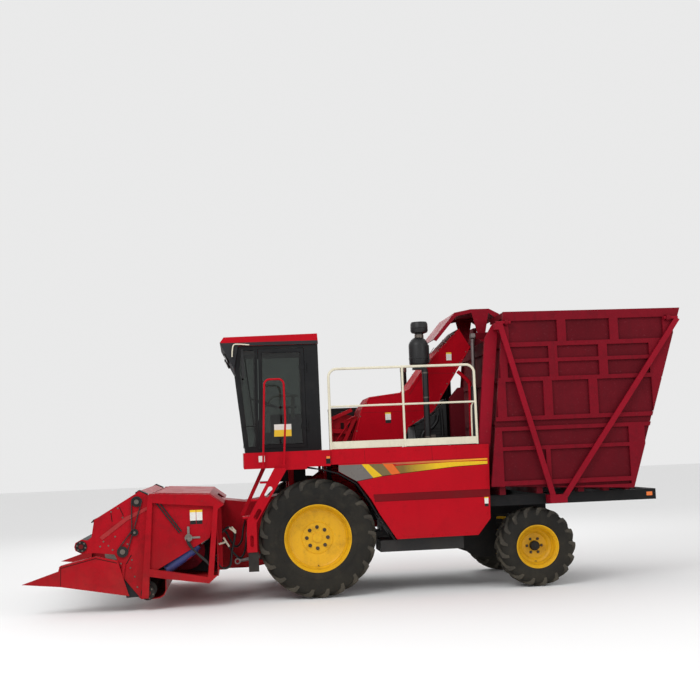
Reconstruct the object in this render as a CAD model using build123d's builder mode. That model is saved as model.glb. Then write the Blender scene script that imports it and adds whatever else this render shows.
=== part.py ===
from build123d import *
import os

# Self-propelled pepper harvester, millimetres.
# +X forward, +Y to the vehicle's left, +Z up, ground at Z = 0.
# FX is the front axle; every length along X in the tables is counted from it.
FX = 650.0
REAR_AXLE = -2910.0
FRONT_HUB_Z = 770.0
REAR_HUB_Z = 522.0
FRONT_TYRE_R, FRONT_TYRE_IN, FRONT_TYRE_OUT = 770.0, 900.0, 1330.0
REAR_TYRE_R, REAR_TYRE_IN, REAR_TYRE_OUT = 522.0, 880.0, 1280.0
FRONT_RIM_R, REAR_RIM_R = 414.0, 260.0
KINGPIN_Y = 720.0
HEADER_HALF = 1560.0          # inner faces of the header's end plates
HEADER_OUT = 1650.0           # widest point of the machine
DRUM_X, DRUM_Z, DRUM_R = 2470.0, 745.0, 355.0
AUGER_X, AUGER_Z, AUGER_R = 1700.0, 700.0, 245.0
PAN_X, PAN_Z, PAN_R = 2160.0, 262.0, 98.0
NOSE_X, NOSE_Z, NOSE_R = 2978.0, 831.0, 78.0
HINGE_Y, HINGE_Z = 1405.0, 3500.0      # the bin's tipping axis
CAB_HALF, CAB_WALL = 700.0, 40.0
FLOOR_Z = 1915.0
SIDE_OUT = 1300.0             # outer face of the side panels
WALL_OUT = 1335.0             # outer face of the bin's side sheets
RIB = 35.0                    # depth of the bin's outer ribs

os.makedirs("parts", exist_ok=True)


def shifted(points):
    return [(FX + x, z) for x, z in points]


def side_plane(y):
    """Plane in XZ at y; an extrusion of it runs towards -Y."""
    return Plane.XZ.offset(-y)


# ---------------------------------------------------------------- chassis
# x0, x1, y0, y1, z0, z1
CHASSIS_BOXES = [
    (-3250, 330, 400, 480, 930, 1070),       # long rails
    (-3250, 330, -480, -400, 930, 1070),
    (-260, -140, -400, 400, 940, 1060),      # cross members
    (-2160, -2060, -400, 400, 940, 1060),
    (-2970, -2850, -400, 400, 940, 1060),
    (-3250, -3150, -400, 400, 940, 1060),
    (-2980, -2840, -90, 90, 660, 940),       # rear axle hanger
    (-130, 130, 405, 475, 900, 930),         # front axle pads
    (-130, 130, -475, -405, 900, 930),
    (120, 260, 540, 570, 560, 930),          # lift cylinder brackets
    (120, 260, -570, -540, 560, 930),
    (-10, 190, 480, 570, 900, 1000),
    (-10, 190, -570, -480, 900, 1000),
    (240, 330, 400, 480, 1070, 1260),        # feeder hinge ears
    (240, 330, -480, -400, 1070, 1260),
]
# bin bed on the rear of the chassis: black side rails and cross members
# x0, x1, y0, y1, z0, z1
BED_BOXES = [
    (-4580, -2175, 1140, 1200, 1075, 1215),
    (-4580, -2175, -1200, -1140, 1075, 1215),
    (-2280, -2172, -1140, 1140, 1085, 1215),
    (-2188, -2172, 705, 795, 1215, 1345),     # ear of the bin cylinder
    (-3220, -3100, -1140, 1140, 1085, 1215),
    (-4100, -4000, -1140, 1140, 1085, 1215),
    (-4580, -4500, -1140, 1140, 1085, 1215),
    (-2970, -2850, 400, 480, 1070, 1085),
    (-3220, -3100, 400, 480, 1070, 1085),
    (-3220, -3100, -480, -400, 1070, 1085),
    (-2280, -2200, 400, 480, 1070, 1085),
    (-2280, -2200, -480, -400, 1070, 1085),
]
with BuildPart() as main_frame:
    for x0, x1, y0, y1, z0, z1 in CHASSIS_BOXES + BED_BOXES:
        with Locations((FX + (x0 + x1) / 2, (y0 + y1) / 2, (z0 + z1) / 2)):
            Box(x1 - x0, y1 - y0, z1 - z0)
    for side in (1, -1):
        with Locations((FX + 285, side * 440, 1200)):
            Cylinder(25.1, 100, rotation=(90, 0, 0), mode=Mode.SUBTRACT)
        with Locations((FX + 222, side * 605, 600)):
            Cylinder(22, 100, rotation=(90, 0, 0))
    with Locations((FX - 2228, 750, 1300)):
        Cylinder(22, 96, rotation=(0, 90, 0))

# front axle: beam, final drive housings and wheel flanges
with BuildPart() as front_axle:
    with Locations((FX, 0, FRONT_HUB_Z)):
        Box(220, 1300, 250)
    for side in (1, -1):
        with Locations((FX, side * 740, FRONT_HUB_Z)):
            Cylinder(175, 240, rotation=(90, 0, 0))
        with Locations((FX, side * 877.5, FRONT_HUB_Z)):
            Cylinder(120, 35, rotation=(90, 0, 0))
        with Locations((FX, side * 940, FRONT_HUB_Z)):
            Cylinder(40, 120, rotation=(90, 0, 0))

# rear axle: beam hung on a centre pin, kingpins at its ends
with BuildPart() as rear_axle:
    with Locations((FX + REAR_AXLE, 0, REAR_HUB_Z + 20)):
        Box(130, 1300, 130)
    with Locations((FX + REAR_AXLE, 0, REAR_HUB_Z + 105)):
        Box(140, 200, 60)
    for side in (1, -1):
        with Locations((FX + REAR_AXLE, side * KINGPIN_Y, REAR_HUB_Z + 20)):
            Cylinder(52, 190)
            Cylinder(24, 290)
        with Locations((FX + REAR_AXLE, side * 660, REAR_HUB_Z + 20)):
            Box(90, 60, 110)

# steering knuckles: fork round the kingpin, spindle and track arm
KNUCKLES = {}
for name, side in (("knuckle_left", 1), ("knuckle_right", -1)):
    with BuildPart() as knuckle:
        for z in (REAR_HUB_Z + 20 + 120, REAR_HUB_Z + 20 - 120):
            with Locations((FX + REAR_AXLE, side * (KINGPIN_Y + 30), z)):
                Box(90, 150, 38)
            with Locations((FX + REAR_AXLE, side * KINGPIN_Y, z)):
                Cylinder(24.06, 60, mode=Mode.SUBTRACT)
        with Locations((FX + REAR_AXLE, side * (KINGPIN_Y + 85), REAR_HUB_Z + 20)):
            Box(90, 40, 278)
        with Locations((FX + REAR_AXLE, side * 855, REAR_HUB_Z)):
            Cylinder(60, 60, rotation=(90, 0, 0))
        with Locations((FX + REAR_AXLE, side * 930, REAR_HUB_Z)):
            Cylinder(32, 120, rotation=(90, 0, 0))
        with Locations((FX + REAR_AXLE - 105, side * (KINGPIN_Y - 5), REAR_HUB_Z + 20 - 120)):
            Box(160, 60, 30)
    KNUCKLES[name] = knuckle
knuckle_left = KNUCKLES["knuckle_left"]
knuckle_right = KNUCKLES["knuckle_right"]

# ---------------------------------------------------------------- wheels
# name, x, hub z, tyre radius, rim radius, inner y, outer y, shoulder, hub disc y, hub r, spindle r, bolts pcd r, bolt r
WHEELS = [
    ("front", 0.0, FRONT_HUB_Z, FRONT_TYRE_R, FRONT_RIM_R, FRONT_TYRE_IN, FRONT_TYRE_OUT, 70.0, 1130.0, 150.0, 40.06, 138.0, 8),
    ("rear", REAR_AXLE, REAR_HUB_Z, REAR_TYRE_R, REAR_RIM_R, REAR_TYRE_IN, REAR_TYRE_OUT, 60.0, 1040.0, 105.0, 32.06, 100.0, 6),
]
WHEEL_PARTS = {}
for wheel, x, hz, tr, rr, yi, yo, sh, dy, hr, sr, pcd, holes in WHEELS:
    for side, word in ((1, "left"), (-1, "right")):
        cap = 28 if wheel == "front" else 60
        # half profile in (radius, y) turned about the wheel's axis
        with BuildPart() as tyre:
            with BuildSketch(Plane((FX + x, 0, hz), x_dir=(0, 0, 1), z_dir=(-1, 0, 0))):
                with BuildLine():
                    Polyline([
                        (rr + 26, side * (yi + 24)), (rr + 70, side * (yi + 4)), (tr - 150, side * yi), (tr - sh, side * (yi + 8)),
                        (tr - 14, side * (yi + 40)), (tr, side * (yi + 120)), (tr, side * (yo - 120)), (tr - 14, side * (yo - 40)),
                        (tr - sh, side * (yo - 8)), (tr - 150, side * yo), (rr + 70, side * (yo - 4)), (rr + 26, side * (yo - 24)),
                    ][::-1], close=True)
                make_face()
            revolve(axis=Axis((FX + x, 0, hz), (0, 1, 0)))
        WHEEL_PARTS[f"tyre_{wheel}_{word}"] = tyre
        with BuildPart() as rim:
            with BuildSketch(Plane((FX + x, 0, hz), x_dir=(0, 0, 1), z_dir=(-1, 0, 0))):
                with BuildLine():
                    Polyline([
                        (rr - 12, side * (yi + 60)), (rr + 14, side * (yi + 24)), (rr + 25, side * (yi + 24)),
                        (rr + 25, side * (yo - 24)), (rr + 14, side * (yo - 24)), (rr - 12, side * (yo - 60)),
                        (rr - 12, side * (dy + 70)), (rr - 70, side * (dy + 40)), (hr + 60, side * (dy + 12)), (hr - 20, side * (dy + 12)),
                        (60, side * (dy + 12)), (60, side * (dy + cap)), (0, side * (dy + cap)), (0, side * (yi + 110)),
                        (sr, side * (yi + 110)), (sr, side * (yi + 10)), (hr - 40, side * (yi + 10)), (hr - 40, side * (dy - 10)),
                        (hr + 60, side * (dy - 10)), (rr - 70, side * (dy + 20)), (rr - 12, side * (dy + 50)),
                    ], close=True)
                make_face()
            revolve(axis=Axis((FX + x, 0, hz), (0, 1, 0)))
            with Locations(Location((FX + x, side * (dy + 5), hz), (90, 0, 0))):
                with PolarLocations(pcd, holes):
                    Hole(15 if wheel == "front" else 11, 200)
        WHEEL_PARTS[f"rim_{wheel}_{word}"] = rim

# ---------------------------------------------------------------- body
SIDE_PANEL = [(-200, 1911), (-2307, 1901), (-2283, 927), (-2110, 716), (-1032, 711), (-816, 1052),
              (-718, 1235), (-544, 1478), (-300, 1623), (-305, 1714), (-200, 1714)]
with BuildPart() as side_panels:
    for y in (SIDE_OUT, -SIDE_OUT + 30):
        with BuildSketch(side_plane(y)):
            with BuildLine():
                Polyline(shifted(SIDE_PANEL), close=True)
            make_face()
        extrude(amount=30)

# inner body frame that carries deck and panels
# x0, x1, y0, y1, z0, z1
BODY_BOXES = [
    (-2170, -210, 1225, 1269, 1830, 1878),    # deck edge rails
    (-2170, -210, -1269, -1225, 1830, 1878),
    (-2170, -2110, -1225, 1225, 1800, 1878),  # deck cross rails
    (-1240, -1190, -1225, 1225, 1818, 1878),
    (-270, -210, -1225, 1225, 1800, 1878),
    (-2170, -2110, 1180, 1269, 1071, 1800),   # rear posts
    (-2170, -2110, -1269, -1180, 1071, 1800),
    (-2170, -2110, 480, 1180, 1071, 1074),
    (-2170, -2110, -1180, -480, 1071, 1074),
    (-1240, -1190, 480, 1269, 960, 1030),     # outriggers
    (-1240, -1190, -1269, -480, 960, 1030),
    (-1240, -1190, 1219, 1269, 1030, 1818),
    (-1240, -1190, -1269, -1219, 1030, 1818),
    (-2170, -2110, 480, 1269, 1000, 1071),
    (-2170, -2110, -1269, -480, 1000, 1071),
    (-270, -210, 400, 480, 1070, 1800),
    (-270, -210, -480, -400, 1070, 1800),
    (81, 470, -404, 404, 1500, 1799),         # heater and fan box under the cab floor
]
with BuildPart() as body_frame:
    for x0, x1, y0, y1, z0, z1 in BODY_BOXES:
        with Locations((FX + (x0 + x1) / 2, (y0 + y1) / 2, (z0 + z1) / 2)):
            Box(x1 - x0, y1 - y0, z1 - z0)

# walking deck round the elevator, open under it
with BuildPart() as deck:
    with Locations((FX - 1185, 0, 1889)):
        Box(1970, 2538, 20)
    with Locations((FX - 1060, 0, 1889)):
        Box(900, 860, 40, mode=Mode.SUBTRACT)

# dark liner of the front wheel arch
ARCH = [(89, 1690), (-104, 1660), (-300, 1603), (-538, 1457), (-702, 1219), (-800, 1039), (-1016, 702),
        (-1002, 694), (-786, 1031), (-688, 1209), (-527, 1444), (-296, 1588), (-100, 1644), (89, 1674)]
with BuildPart() as wheel_arches:
    for y in (1268.0, -860.0):
        with BuildSketch(side_plane(y)):
            with BuildLine():
                Polyline(shifted(ARCH), close=True)
            make_face()
        extrude(amount=408)

# engine, one plain block, and tanks low between the axles
with BuildPart() as engine_block:
    with Locations((FX - 1640, 0, 1440)):
        Box(860, 640, 720)
with BuildPart() as tanks:
    for side in (1, -1):
        with Locations((FX - 1385, side * 860, 615)):
            Box(1110, 560, 150)
        with Locations((FX - 1500, side * 860, 790)):
            Box(880, 560, 220)
        with Locations((FX - 1215, side * 860, 824.5)):
            Box(50, 60, 269)
        with Locations((FX - 1215, side * 685, 940)):
            Box(50, 410, 38)
    # oil tank between the rails, ahead of the rear axle
    with Locations((FX - 2340, 0, 810)):
        Box(280, 798, 500)

# crop tunnel under the cab, from the feeder to the elevator
TUNNEL = [(80, 1075), (80, 1440), (-420, 1795), (-590, 1795), (-590, 1310), (-200, 1075)]
TUNNEL_IN = [(110, 1087), (110, 1432), (-416, 1783), (-620, 1783), (-620, 1316), (-196, 1087)]
# ---------------------------------------------------------------- elevator
ELEVATOR = [(-610, 1902), (-610, 2045), (-723, 2454), (-843, 2617), (-1280, 2665), (-1395, 2701), (-1671, 3062),
            (-2150, 3536), (-2290, 3285), (-1721, 2401), (-1355, 2191), (-1250, 1902)]
ELEVATOR_IN = [(-625, 1880), (-625, 2045), (-737, 2448), (-850, 2605), (-1282, 2653), (-1401, 2690), (-1679, 3053),
               (-2170, 3539), (-2309, 3291), (-1713, 2411), (-1347, 2199), (-1238, 1880)]
with BuildPart() as elevator_casing:
    with BuildSketch(side_plane(390)):
        with BuildLine():
            Polyline(shifted(TUNNEL), close=True)
        make_face()
    extrude(amount=780)
    with BuildSketch(side_plane(378)):
        with BuildLine():
            Polyline(shifted(TUNNEL_IN), close=True)
        make_face()
    extrude(amount=756, mode=Mode.SUBTRACT)
    with BuildSketch(side_plane(440)):
        with BuildLine():
            Polyline(shifted(ELEVATOR), close=True)
        make_face()
    extrude(amount=880)
    with BuildSketch(side_plane(430)):
        with BuildLine():
            Polyline(shifted(ELEVATOR_IN), close=True)
        make_face()
    extrude(amount=860, mode=Mode.SUBTRACT)

# fan housing and duct behind the elevator
with BuildPart() as fan_duct:
    with BuildSketch(side_plane(520)):
        with BuildLine():
            Polyline(shifted([(-1960, 1902), (-1960, 2560), (-2085, 2700), (-2160, 2700), (-2160, 1902)]), close=True)
        make_face()
    extrude(amount=90)
    with BuildSketch(side_plane(508)):
        with BuildLine():
            Polyline(shifted([(-1972, 1890), (-1972, 2556), (-2090, 2688), (-2148, 2688), (-2148, 1890)]), close=True)
        make_face()
    extrude(amount=66, mode=Mode.SUBTRACT)

# air cleaner with its rain cap on the left of the deck
RADIATOR = [(-1480, 1899), (-1480, 2190), (-1760, 2350), (-1930, 2560), (-1930, 1899)]
with BuildPart() as engine_stacks:
    with Locations((FX - 1600, 690, 2430)):
        Cylinder(42, 1060)
    with Locations((FX - 1524, 690, 3000)):
        Box(190, 70, 90)
    with Locations((FX - 1524, 690, 3175)):
        Cylinder(130, 260)
    with Locations((FX - 1540, 690, 3390)):
        Cylinder(58, 170)
    with Locations((FX - 1545, 690, 3545)):
        Cone(112, 85, 140)

    # exhaust on the right of the deck
    with Locations((FX - 1500, -690, 2280)):
        Cylinder(95, 700)
    with Locations((FX - 1500, -690, 1915)):
        Cylinder(45, 32)
    with Locations((FX - 1500, -690, 2870)):
        Cylinder(45, 480)

    # radiator housing under the elevator, battery box on the right of the deck
    with BuildSketch(side_plane(370)):
        with BuildLine():
            Polyline(shifted(RADIATOR), close=True)
        make_face()
    extrude(amount=740)
    with Locations((FX - 620, -900, 2204.5)):
        Box(480, 420, 611)

# railing on the left of the deck: posts and rails of round tube, toe board below
# x, z of the outer hoop, bent from one tube
HOOP = [(-215, 1911), (-215, 2965), (-2160, 2965), (-2160, 1911)]
with BuildPart() as railings:
    y = 1284
    with BuildLine() as hoop:
        FilletPolyline([(FX + x, y, z) for x, z in HOOP], radius=110)
    with BuildSketch(Plane(hoop.line @ 0, z_dir=hoop.line % 0)):
        Circle(17)
    sweep(path=hoop.line)
    with Locations((FX - 1195, y, 2436.5)):
        Cylinder(15, 1057)
    with Locations((FX - 1187.5, y, 2470)):
        Cylinder(13, 1945, rotation=(0, 90, 0))
    with Locations((FX - 1187.5, y, 1962)):
        Box(1945, 12, 96)

# ---------------------------------------------------------------- cab
# x0, x1, y0, y1, z0, z1
PLATFORM_BOXES = [
    (-198, 927, 1290, 1330, 1700, 1895),      # left face beam
    (-198, 927, -1330, -1290, 1700, 1895),
    (887, 927, -1290, 1290, 1700, 1895),      # front beam
    (-198, 927, -1330, 1330, 1895, 1909),     # floor plate
    (-198, -165, -1290, 1290, 1800, 1895),
    (330, 400, -1290, 1290, 1800, 1895),
    (109, 527, 1290, 1330, 1672, 1700),       # step bracket
]
with BuildPart() as cab_platform:
    for x0, x1, y0, y1, z0, z1 in PLATFORM_BOXES:
        with Locations((FX + (x0 + x1) / 2, (y0 + y1) / 2, (z0 + z1) / 2)):
            Box(x1 - x0, y1 - y0, z1 - z0)
    for side in (1, -1):
        with Locations((FX + 285, side * 440, 1530)):
            Box(70, 70, 540)
        with Locations((FX - 178, side * 530, 1430)):
            Box(36, 60, 742)
        with Locations((FX - 178, side * 520, 1035)):
            Box(36, 80, 70)

DOOR_PIN = (45, 715)          # x, y of the door's hinge line
DOOR_PIN_Z = (2250, 3050)
CAB_SIDE = [(-135, FLOOR_Z - 5), (-130, 3357), (955, 3357), (1011, 3037), (900, FLOOR_Z - 5)]
CAB_IN = [(-95, 1950), (-90, 3400), (930, 3400), (968, 3037), (862, 1950)]
DOOR_HOLE = [(60, 1955), (60, 3315), (690, 3315), (716, 1955)]
QUARTER_HOLE = [(750, 1990), (724, 3300), (918, 3300), (950, 3037), (858, 1990)]
with BuildPart() as cab_shell:
    with BuildSketch(side_plane(CAB_HALF)):
        with BuildLine():
            Polyline(shifted(CAB_SIDE), close=True)
        make_face()
    extrude(amount=2 * CAB_HALF)
    with BuildSketch(side_plane(CAB_HALF - CAB_WALL)):
        with BuildLine():
            Polyline(shifted(CAB_IN), close=True)
        make_face()
    extrude(amount=2 * (CAB_HALF - CAB_WALL), mode=Mode.SUBTRACT)
    with BuildSketch(side_plane(CAB_HALF + 20)):
        with BuildLine():
            Polyline(shifted(DOOR_HOLE), close=True)
        make_face()
    extrude(amount=100, mode=Mode.SUBTRACT)
    with BuildSketch(side_plane(-CAB_HALF + 60)):
        with BuildLine():
            Polyline(shifted([(60, 2200), (60, 3290), (690, 3290), (711, 2200)]), close=True)
        make_face()
    extrude(amount=100, mode=Mode.SUBTRACT)
    for y in (CAB_HALF + 20, -CAB_HALF + 60):
        with BuildSketch(side_plane(y)):
            with BuildLine():
                Polyline(shifted(QUARTER_HOLE), close=True)
            make_face()
        extrude(amount=80, mode=Mode.SUBTRACT)
    with BuildSketch(Plane.YZ.offset(FX + 800)):
        with Locations((0, 2545)):
            Rectangle(2 * CAB_HALF - 100, 1110)
    extrude(amount=300, mode=Mode.SUBTRACT)
    with BuildSketch(Plane.YZ.offset(FX - 200)):
        with Locations((0, 2800)):
            Rectangle(1000, 800)
    extrude(amount=200, mode=Mode.SUBTRACT)
    # pins of the door's hinges in their brackets
    for z in DOOR_PIN_Z:
        with Locations((FX + DOOR_PIN[0], DOOR_PIN[1], z)):
            Cylinder(8, 150)
        for up in (-1, 1):
            with Locations((FX + 43, 712, z + up * 52)):
                Box(26, 28, 30)

# fixed panes, each inside its frame
with BuildPart() as cab_glass:
    with BuildSketch(side_plane(CAB_HALF - 51)):
        with BuildLine():
            Polyline(shifted([(996, 3098), (990, 3098), (880, 1992), (886, 1992)]), close=True)
        make_face()
    extrude(amount=2 * CAB_HALF - 102)
    for y in (CAB_HALF - 14, -CAB_HALF + 20):
        with BuildSketch(side_plane(y)):
            with BuildLine():
                Polyline(shifted([(751, 1991), (725, 3299), (917, 3299), (949, 3037), (857, 1991)]), close=True)
            make_face()
        extrude(amount=6)
    with BuildSketch(side_plane(-CAB_HALF + 20)):
        with BuildLine():
            Polyline(shifted([(61, 2201), (61, 3289), (689, 3289), (710, 2201)]), close=True)
        make_face()
    extrude(amount=6)
    with BuildSketch(Plane.YZ.offset(FX - 117)):
        with Locations((0, 2800)):
            Rectangle(998, 798)
    extrude(amount=6)

ROOF = [(-135, 3359), (-127, 3499), (1143, 3483), (1196, 3415), (1013, 3045), (957, 3359)]
ROOF_IN = [(-120, 3340), (-112, 3486), (1136, 3470), (1176, 3417), (1013, 3075), (972, 3340)]
with BuildPart() as cab_roof:
    with BuildSketch(side_plane(CAB_HALF + 35)):
        with BuildLine():
            Polyline(shifted(ROOF), close=True)
        make_face()
    extrude(amount=2 * CAB_HALF + 70)
    with BuildSketch(side_plane(CAB_HALF + 20)):
        with BuildLine():
            Polyline(shifted([(-120, 3340), (-112, 3485), (1130, 3469), (1130, 3340)]), close=True)
        make_face()
    extrude(amount=2 * CAB_HALF + 40, mode=Mode.SUBTRACT)
    with Locations((FX + 412, 0, 3364)):
        Box(1090, 2 * CAB_HALF + 40, 10)
    with BuildSketch(side_plane(CAB_HALF + 20)):
        with BuildLine():
            Polyline(shifted([(975, 3350), (1120, 3350), (1105, 3260), (1030, 3110)]), close=True)
        make_face()
    extrude(amount=2 * CAB_HALF + 40, mode=Mode.SUBTRACT)

SEAT_BACK = [(-33, 2205), (-80, 2860), (15, 2870), (75, 2205)]
with BuildPart() as cab_seat:
    with Locations((FX + 190, 0, 2045)):
        Box(300, 300, 190)
    with Locations((FX + 190, 0, 2165)):
        Box(460, 480, 50)
    with Locations((FX + 200, 0, 2245)):
        Box(460, 470, 110)
    with BuildSketch(side_plane(230)):
        with BuildLine():
            Polyline(shifted(SEAT_BACK), close=True)
        make_face()
    extrude(amount=460)

# steering column and wheel, control box and grey arm rail
with BuildPart() as cab_controls:
    with BuildSketch(side_plane(60)):
        with BuildLine():
            Polyline(shifted([(700, 1952), (590, 2560), (640, 2575), (800, 1952)]), close=True)
        make_face()
    extrude(amount=120)
    with Locations(Location((FX + 603, 0, 2600), (0, -20, 0))):
        Cylinder(205, 26)
        Cylinder(175, 30, mode=Mode.SUBTRACT)
        Box(390, 40, 18)
        Cylinder(45, 60)

    with Locations((FX + 230, -480, 2200)):
        Box(560, 240, 496)
    with Locations((FX + 180, 420, 2150)):
        Box(340, 100, 396)
    with Locations((FX + 300, 420, 2430)):
        Cylinder(16, 180)
    with Locations((FX + 300, 420, 2520)):
        Cylinder(16, 260, rotation=(0, 90, 0))

# door: frame of tube and sheet, pane in it
DOOR = [(66, 1961), (66, 3309), (684, 3309), (710, 1961)]
DOOR_GLASS = [(116, 2016), (116, 3254), (635, 3254), (658, 2016)]
with BuildPart() as cab_door:
    with BuildSketch(side_plane(CAB_HALF + 4)):
        with BuildLine():
            Polyline(shifted(DOOR), close=True)
        make_face()
    extrude(amount=38)
    with BuildSketch(side_plane(CAB_HALF + 20)):
        with BuildLine():
            Polyline(shifted(DOOR_GLASS), close=True)
        make_face()
    extrude(amount=80, mode=Mode.SUBTRACT)
    with Locations((FX + 640, CAB_HALF + 18, 2420)):
        Box(24, 28, 150)
    # hinge straps and their barrels
    for z in DOOR_PIN_Z:
        with Locations((FX + 98, 708, z)):
            Box(70, 10, 56)
        with Locations((FX + 58, 709.5, z)):
            Box(30, 7, 56)
        with Locations((FX + DOOR_PIN[0], DOOR_PIN[1], z)):
            Cylinder(13, 60)
            Cylinder(8.2, 90, mode=Mode.SUBTRACT)
with BuildPart() as door_glass:
    with BuildSketch(side_plane(CAB_HALF - 12)):
        with BuildLine():
            Polyline(shifted([(117, 2017), (117, 3253), (634, 3253), (657, 2017)]), close=True)
        make_face()
    extrude(amount=6)

# access: ladder with its two stringers, rungs, rubber step, hand rails
HAND_LOOP = [(682, 1710), (629, 2850), (380, 2850), (376, 2300), (412, 1740)]
with BuildPart() as ladder:
    with BuildSketch(side_plane(1386)):
        with BuildLine():
            Polyline(shifted([(540, 1700), (909, 1048), (920, 900), (920, 640), (790, 640), (790, 1012), (384, 1672), (400, 1700)]), close=True)
        make_face()
        for cx, cz in ((624, 1400), (773, 1120)):
            with Locations((FX + cx, cz)):
                SlotOverall(150, 58, rotation=120, mode=Mode.SUBTRACT)
        with Locations((FX + 856, 782)):
            SlotOverall(150, 46, rotation=90, mode=Mode.SUBTRACT)
    extrude(amount=10)
    with BuildSketch(side_plane(1010)):
        with BuildLine():
            Polyline(shifted([(640, 1700), (950, 1085), (990, 1105), (700, 1700)]), close=True)
        make_face()
    extrude(amount=10)
    for x, z in ((610, 1520), (735, 1300), (850, 1085)):
        with Locations((FX + x + 60, 1193, z)):
            Box(110, 366, 22)
    for x, z in ((840, 860), (840, 680)):
        with Locations((FX + x, 1288, z)):
            Box(90, 186, 20)
    with Locations((FX + 840, 1200, 870)):
        Box(100, 10, 400)
    # hand rail loop beside the door
    with BuildLine() as loop:
        FilletPolyline([(FX + x, 1400, z) for x, z in HAND_LOOP], radius=70)
    with BuildSketch(Plane(loop.line @ 0, z_dir=loop.line % 0)):
        Circle(13)
    sweep(path=loop.line)
    for x, z in ((684, 1780), (404, 1780)):
        with Locations((FX + x, 1365, z)):
            Cylinder(11, 70, rotation=(90, 0, 0))
with BuildPart() as ladder_step:
    with Locations((FX + 840, 1288, 515)):
        Box(130, 170, 245)

# folded mirrors on arms at the roof's front corners
with BuildPart() as mirrors:
    for side in (1, -1):
        with Locations((FX + 900, side * 790, 3290)):
            Cylinder(12, 108, rotation=(90, 0, 0))
        with Locations((FX + 900, side * 850, 3130)):
            Cylinder(12, 340)
        with Locations((FX + 900, side * 850, 3080)):
            Box(30, 190, 330)

# ---------------------------------------------------------------- header
# feeder house, open at both ends
with BuildPart() as feeder_house:
    with BuildSketch(side_plane(385)):
        with BuildLine():
            Polyline(shifted([(1283, 362), (921, 358), (581, 398), (400, 560), (240, 1010), (200, 1290), (330, 1330), (925, 1250), (1283, 1300)]), close=True)
        make_face()
    extrude(amount=770)
    with BuildSketch(side_plane(375)):
        with BuildLine():
            Polyline(shifted([(1300, 372), (921, 368), (585, 408), (409, 566), (252, 1012), (232, 1110), (180, 1110), (180, 1280), (215, 1280), (333, 1320), (925, 1240), (1300, 1292)]), close=True)
        make_face()
    extrude(amount=750, mode=Mode.SUBTRACT)
    for side in (1, -1):
        with Locations((FX + 1050, side * 430, 470)):
            Box(90, 90, 90)
        with Locations((FX + 1050, side * 560, 470)):
            Cylinder(22, 190, rotation=(90, 0, 0))
        with Locations((FX + 285, side * 425, 1200)):
            Cylinder(25, 90, rotation=(90, 0, 0))

# end frames of the header
FRONT_POST = [(2140, 1435), (2080, 1435), (2160, 160), (2250, 160)]
REAR_POST = [(1330, 1260), (1270, 1260), (1350, 390), (1420, 390)]
LOWER_RAIL = [(2215, 532), (1439, 387), (1360, 400), (1295, 402), (1409, 305), (1946, 388), (2225, 440)]
UPPER_RAIL = [(2125, 1450), (2084, 1450), (1376, 1411), (1196, 1275), (1270, 1225), (1340, 1262), (1953, 1317), (2100, 1340)]
END_SHEET = [(2110, 1400), (1376, 1380), (1300, 1240), (1385, 866), (2055, 496), (2180, 500)]
RIGHT_SHEET = [(2110, 1400), (1376, 1380), (1300, 1240), (1345, 392), (1439, 380), (2180, 515)]
CHEEK = [(2146, 1432), (2254, 1488), (2286, 1465), (2815, 1155), (2823, 1108), (2851, 943), (2900, 905), (2978, 918),
         (3050, 880), (3065, 831), (3050, 782), (2978, 744), (2831, 745), (2573, 716), (2498, 554), (2515, 476), (2262, 160), (2200, 300)]
with BuildPart() as header_ends:
    for side in (1, -1):
        for outline in (FRONT_POST, REAR_POST, LOWER_RAIL, UPPER_RAIL):
            with BuildSketch(side_plane(HEADER_OUT if side > 0 else -HEADER_HALF)):
                with BuildLine():
                    Polyline(shifted(outline), close=True)
                make_face()
            extrude(amount=90)
        with BuildSketch(side_plane(1600 if side > 0 else -1592)):
            with BuildLine():
                Polyline(shifted(END_SHEET if side > 0 else RIGHT_SHEET), close=True)
            make_face()
        extrude(amount=8)
        # picker cheek in front of the frame, with holes for the shafts
        with BuildSketch(side_plane(1590 if side > 0 else -1575)):
            with BuildLine():
                Polyline(shifted(CHEEK), close=True)
            make_face()
            with Locations((FX + DRUM_X, DRUM_Z), (FX + NOSE_X, NOSE_Z)):
                Circle(36, mode=Mode.SUBTRACT)
        extrude(amount=15)

# cross beams, floor and back wall of the header
PAN_OUT = [(1956, 372), (1945, 372), (1945, 230), (1975, 175), (2030, 145), (2120, 138), (2262, 146), (2290, 170),
           (2284, 178), (2260, 156), (2120, 148), (2034, 155), (1983, 182), (1956, 233)]
with BuildPart() as header_frame:
    with BuildSketch(side_plane(HEADER_HALF - 2)):
        with BuildLine():
            Polyline(shifted(PAN_OUT), close=True)
        make_face()
    extrude(amount=2 * HEADER_HALF - 4)
    for outline in ([(1436, 384), (1945, 370), (1956, 370), (1956, 380), (1436, 396)], [(1288, 385), (1440, 385), (1440, 396), (1288, 396)]):
        with BuildSketch(side_plane(HEADER_HALF - 2)):
            with BuildLine():
                Polyline(shifted(outline), close=True)
            make_face()
        extrude(amount=2 * HEADER_HALF - 4)
    for y0, y1, z0, z1 in ((-HEADER_HALF + 2, -392, 396, 1225), (392, HEADER_HALF - 2, 396, 1225)):
        with Locations((FX + 1294, (y0 + y1) / 2, (z0 + z1) / 2)):
            Box(12, y1 - y0, z1 - z0)
    with Locations((FX + 1330, 0, 1245)):
        Box(80, 2 * HEADER_HALF - 4, 60)
    with Locations((FX + 1330, 0, 1295)):
        Box(80, 780, 60)
    with Locations((FX + 2100, 0, 1395)):
        Box(70, 2 * HEADER_HALF - 4, 70)
    for y in (-1180, -425, 425, 1180):
        with Locations((FX + 1263, y, 820)):
            Box(52, 60, 790)
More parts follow.
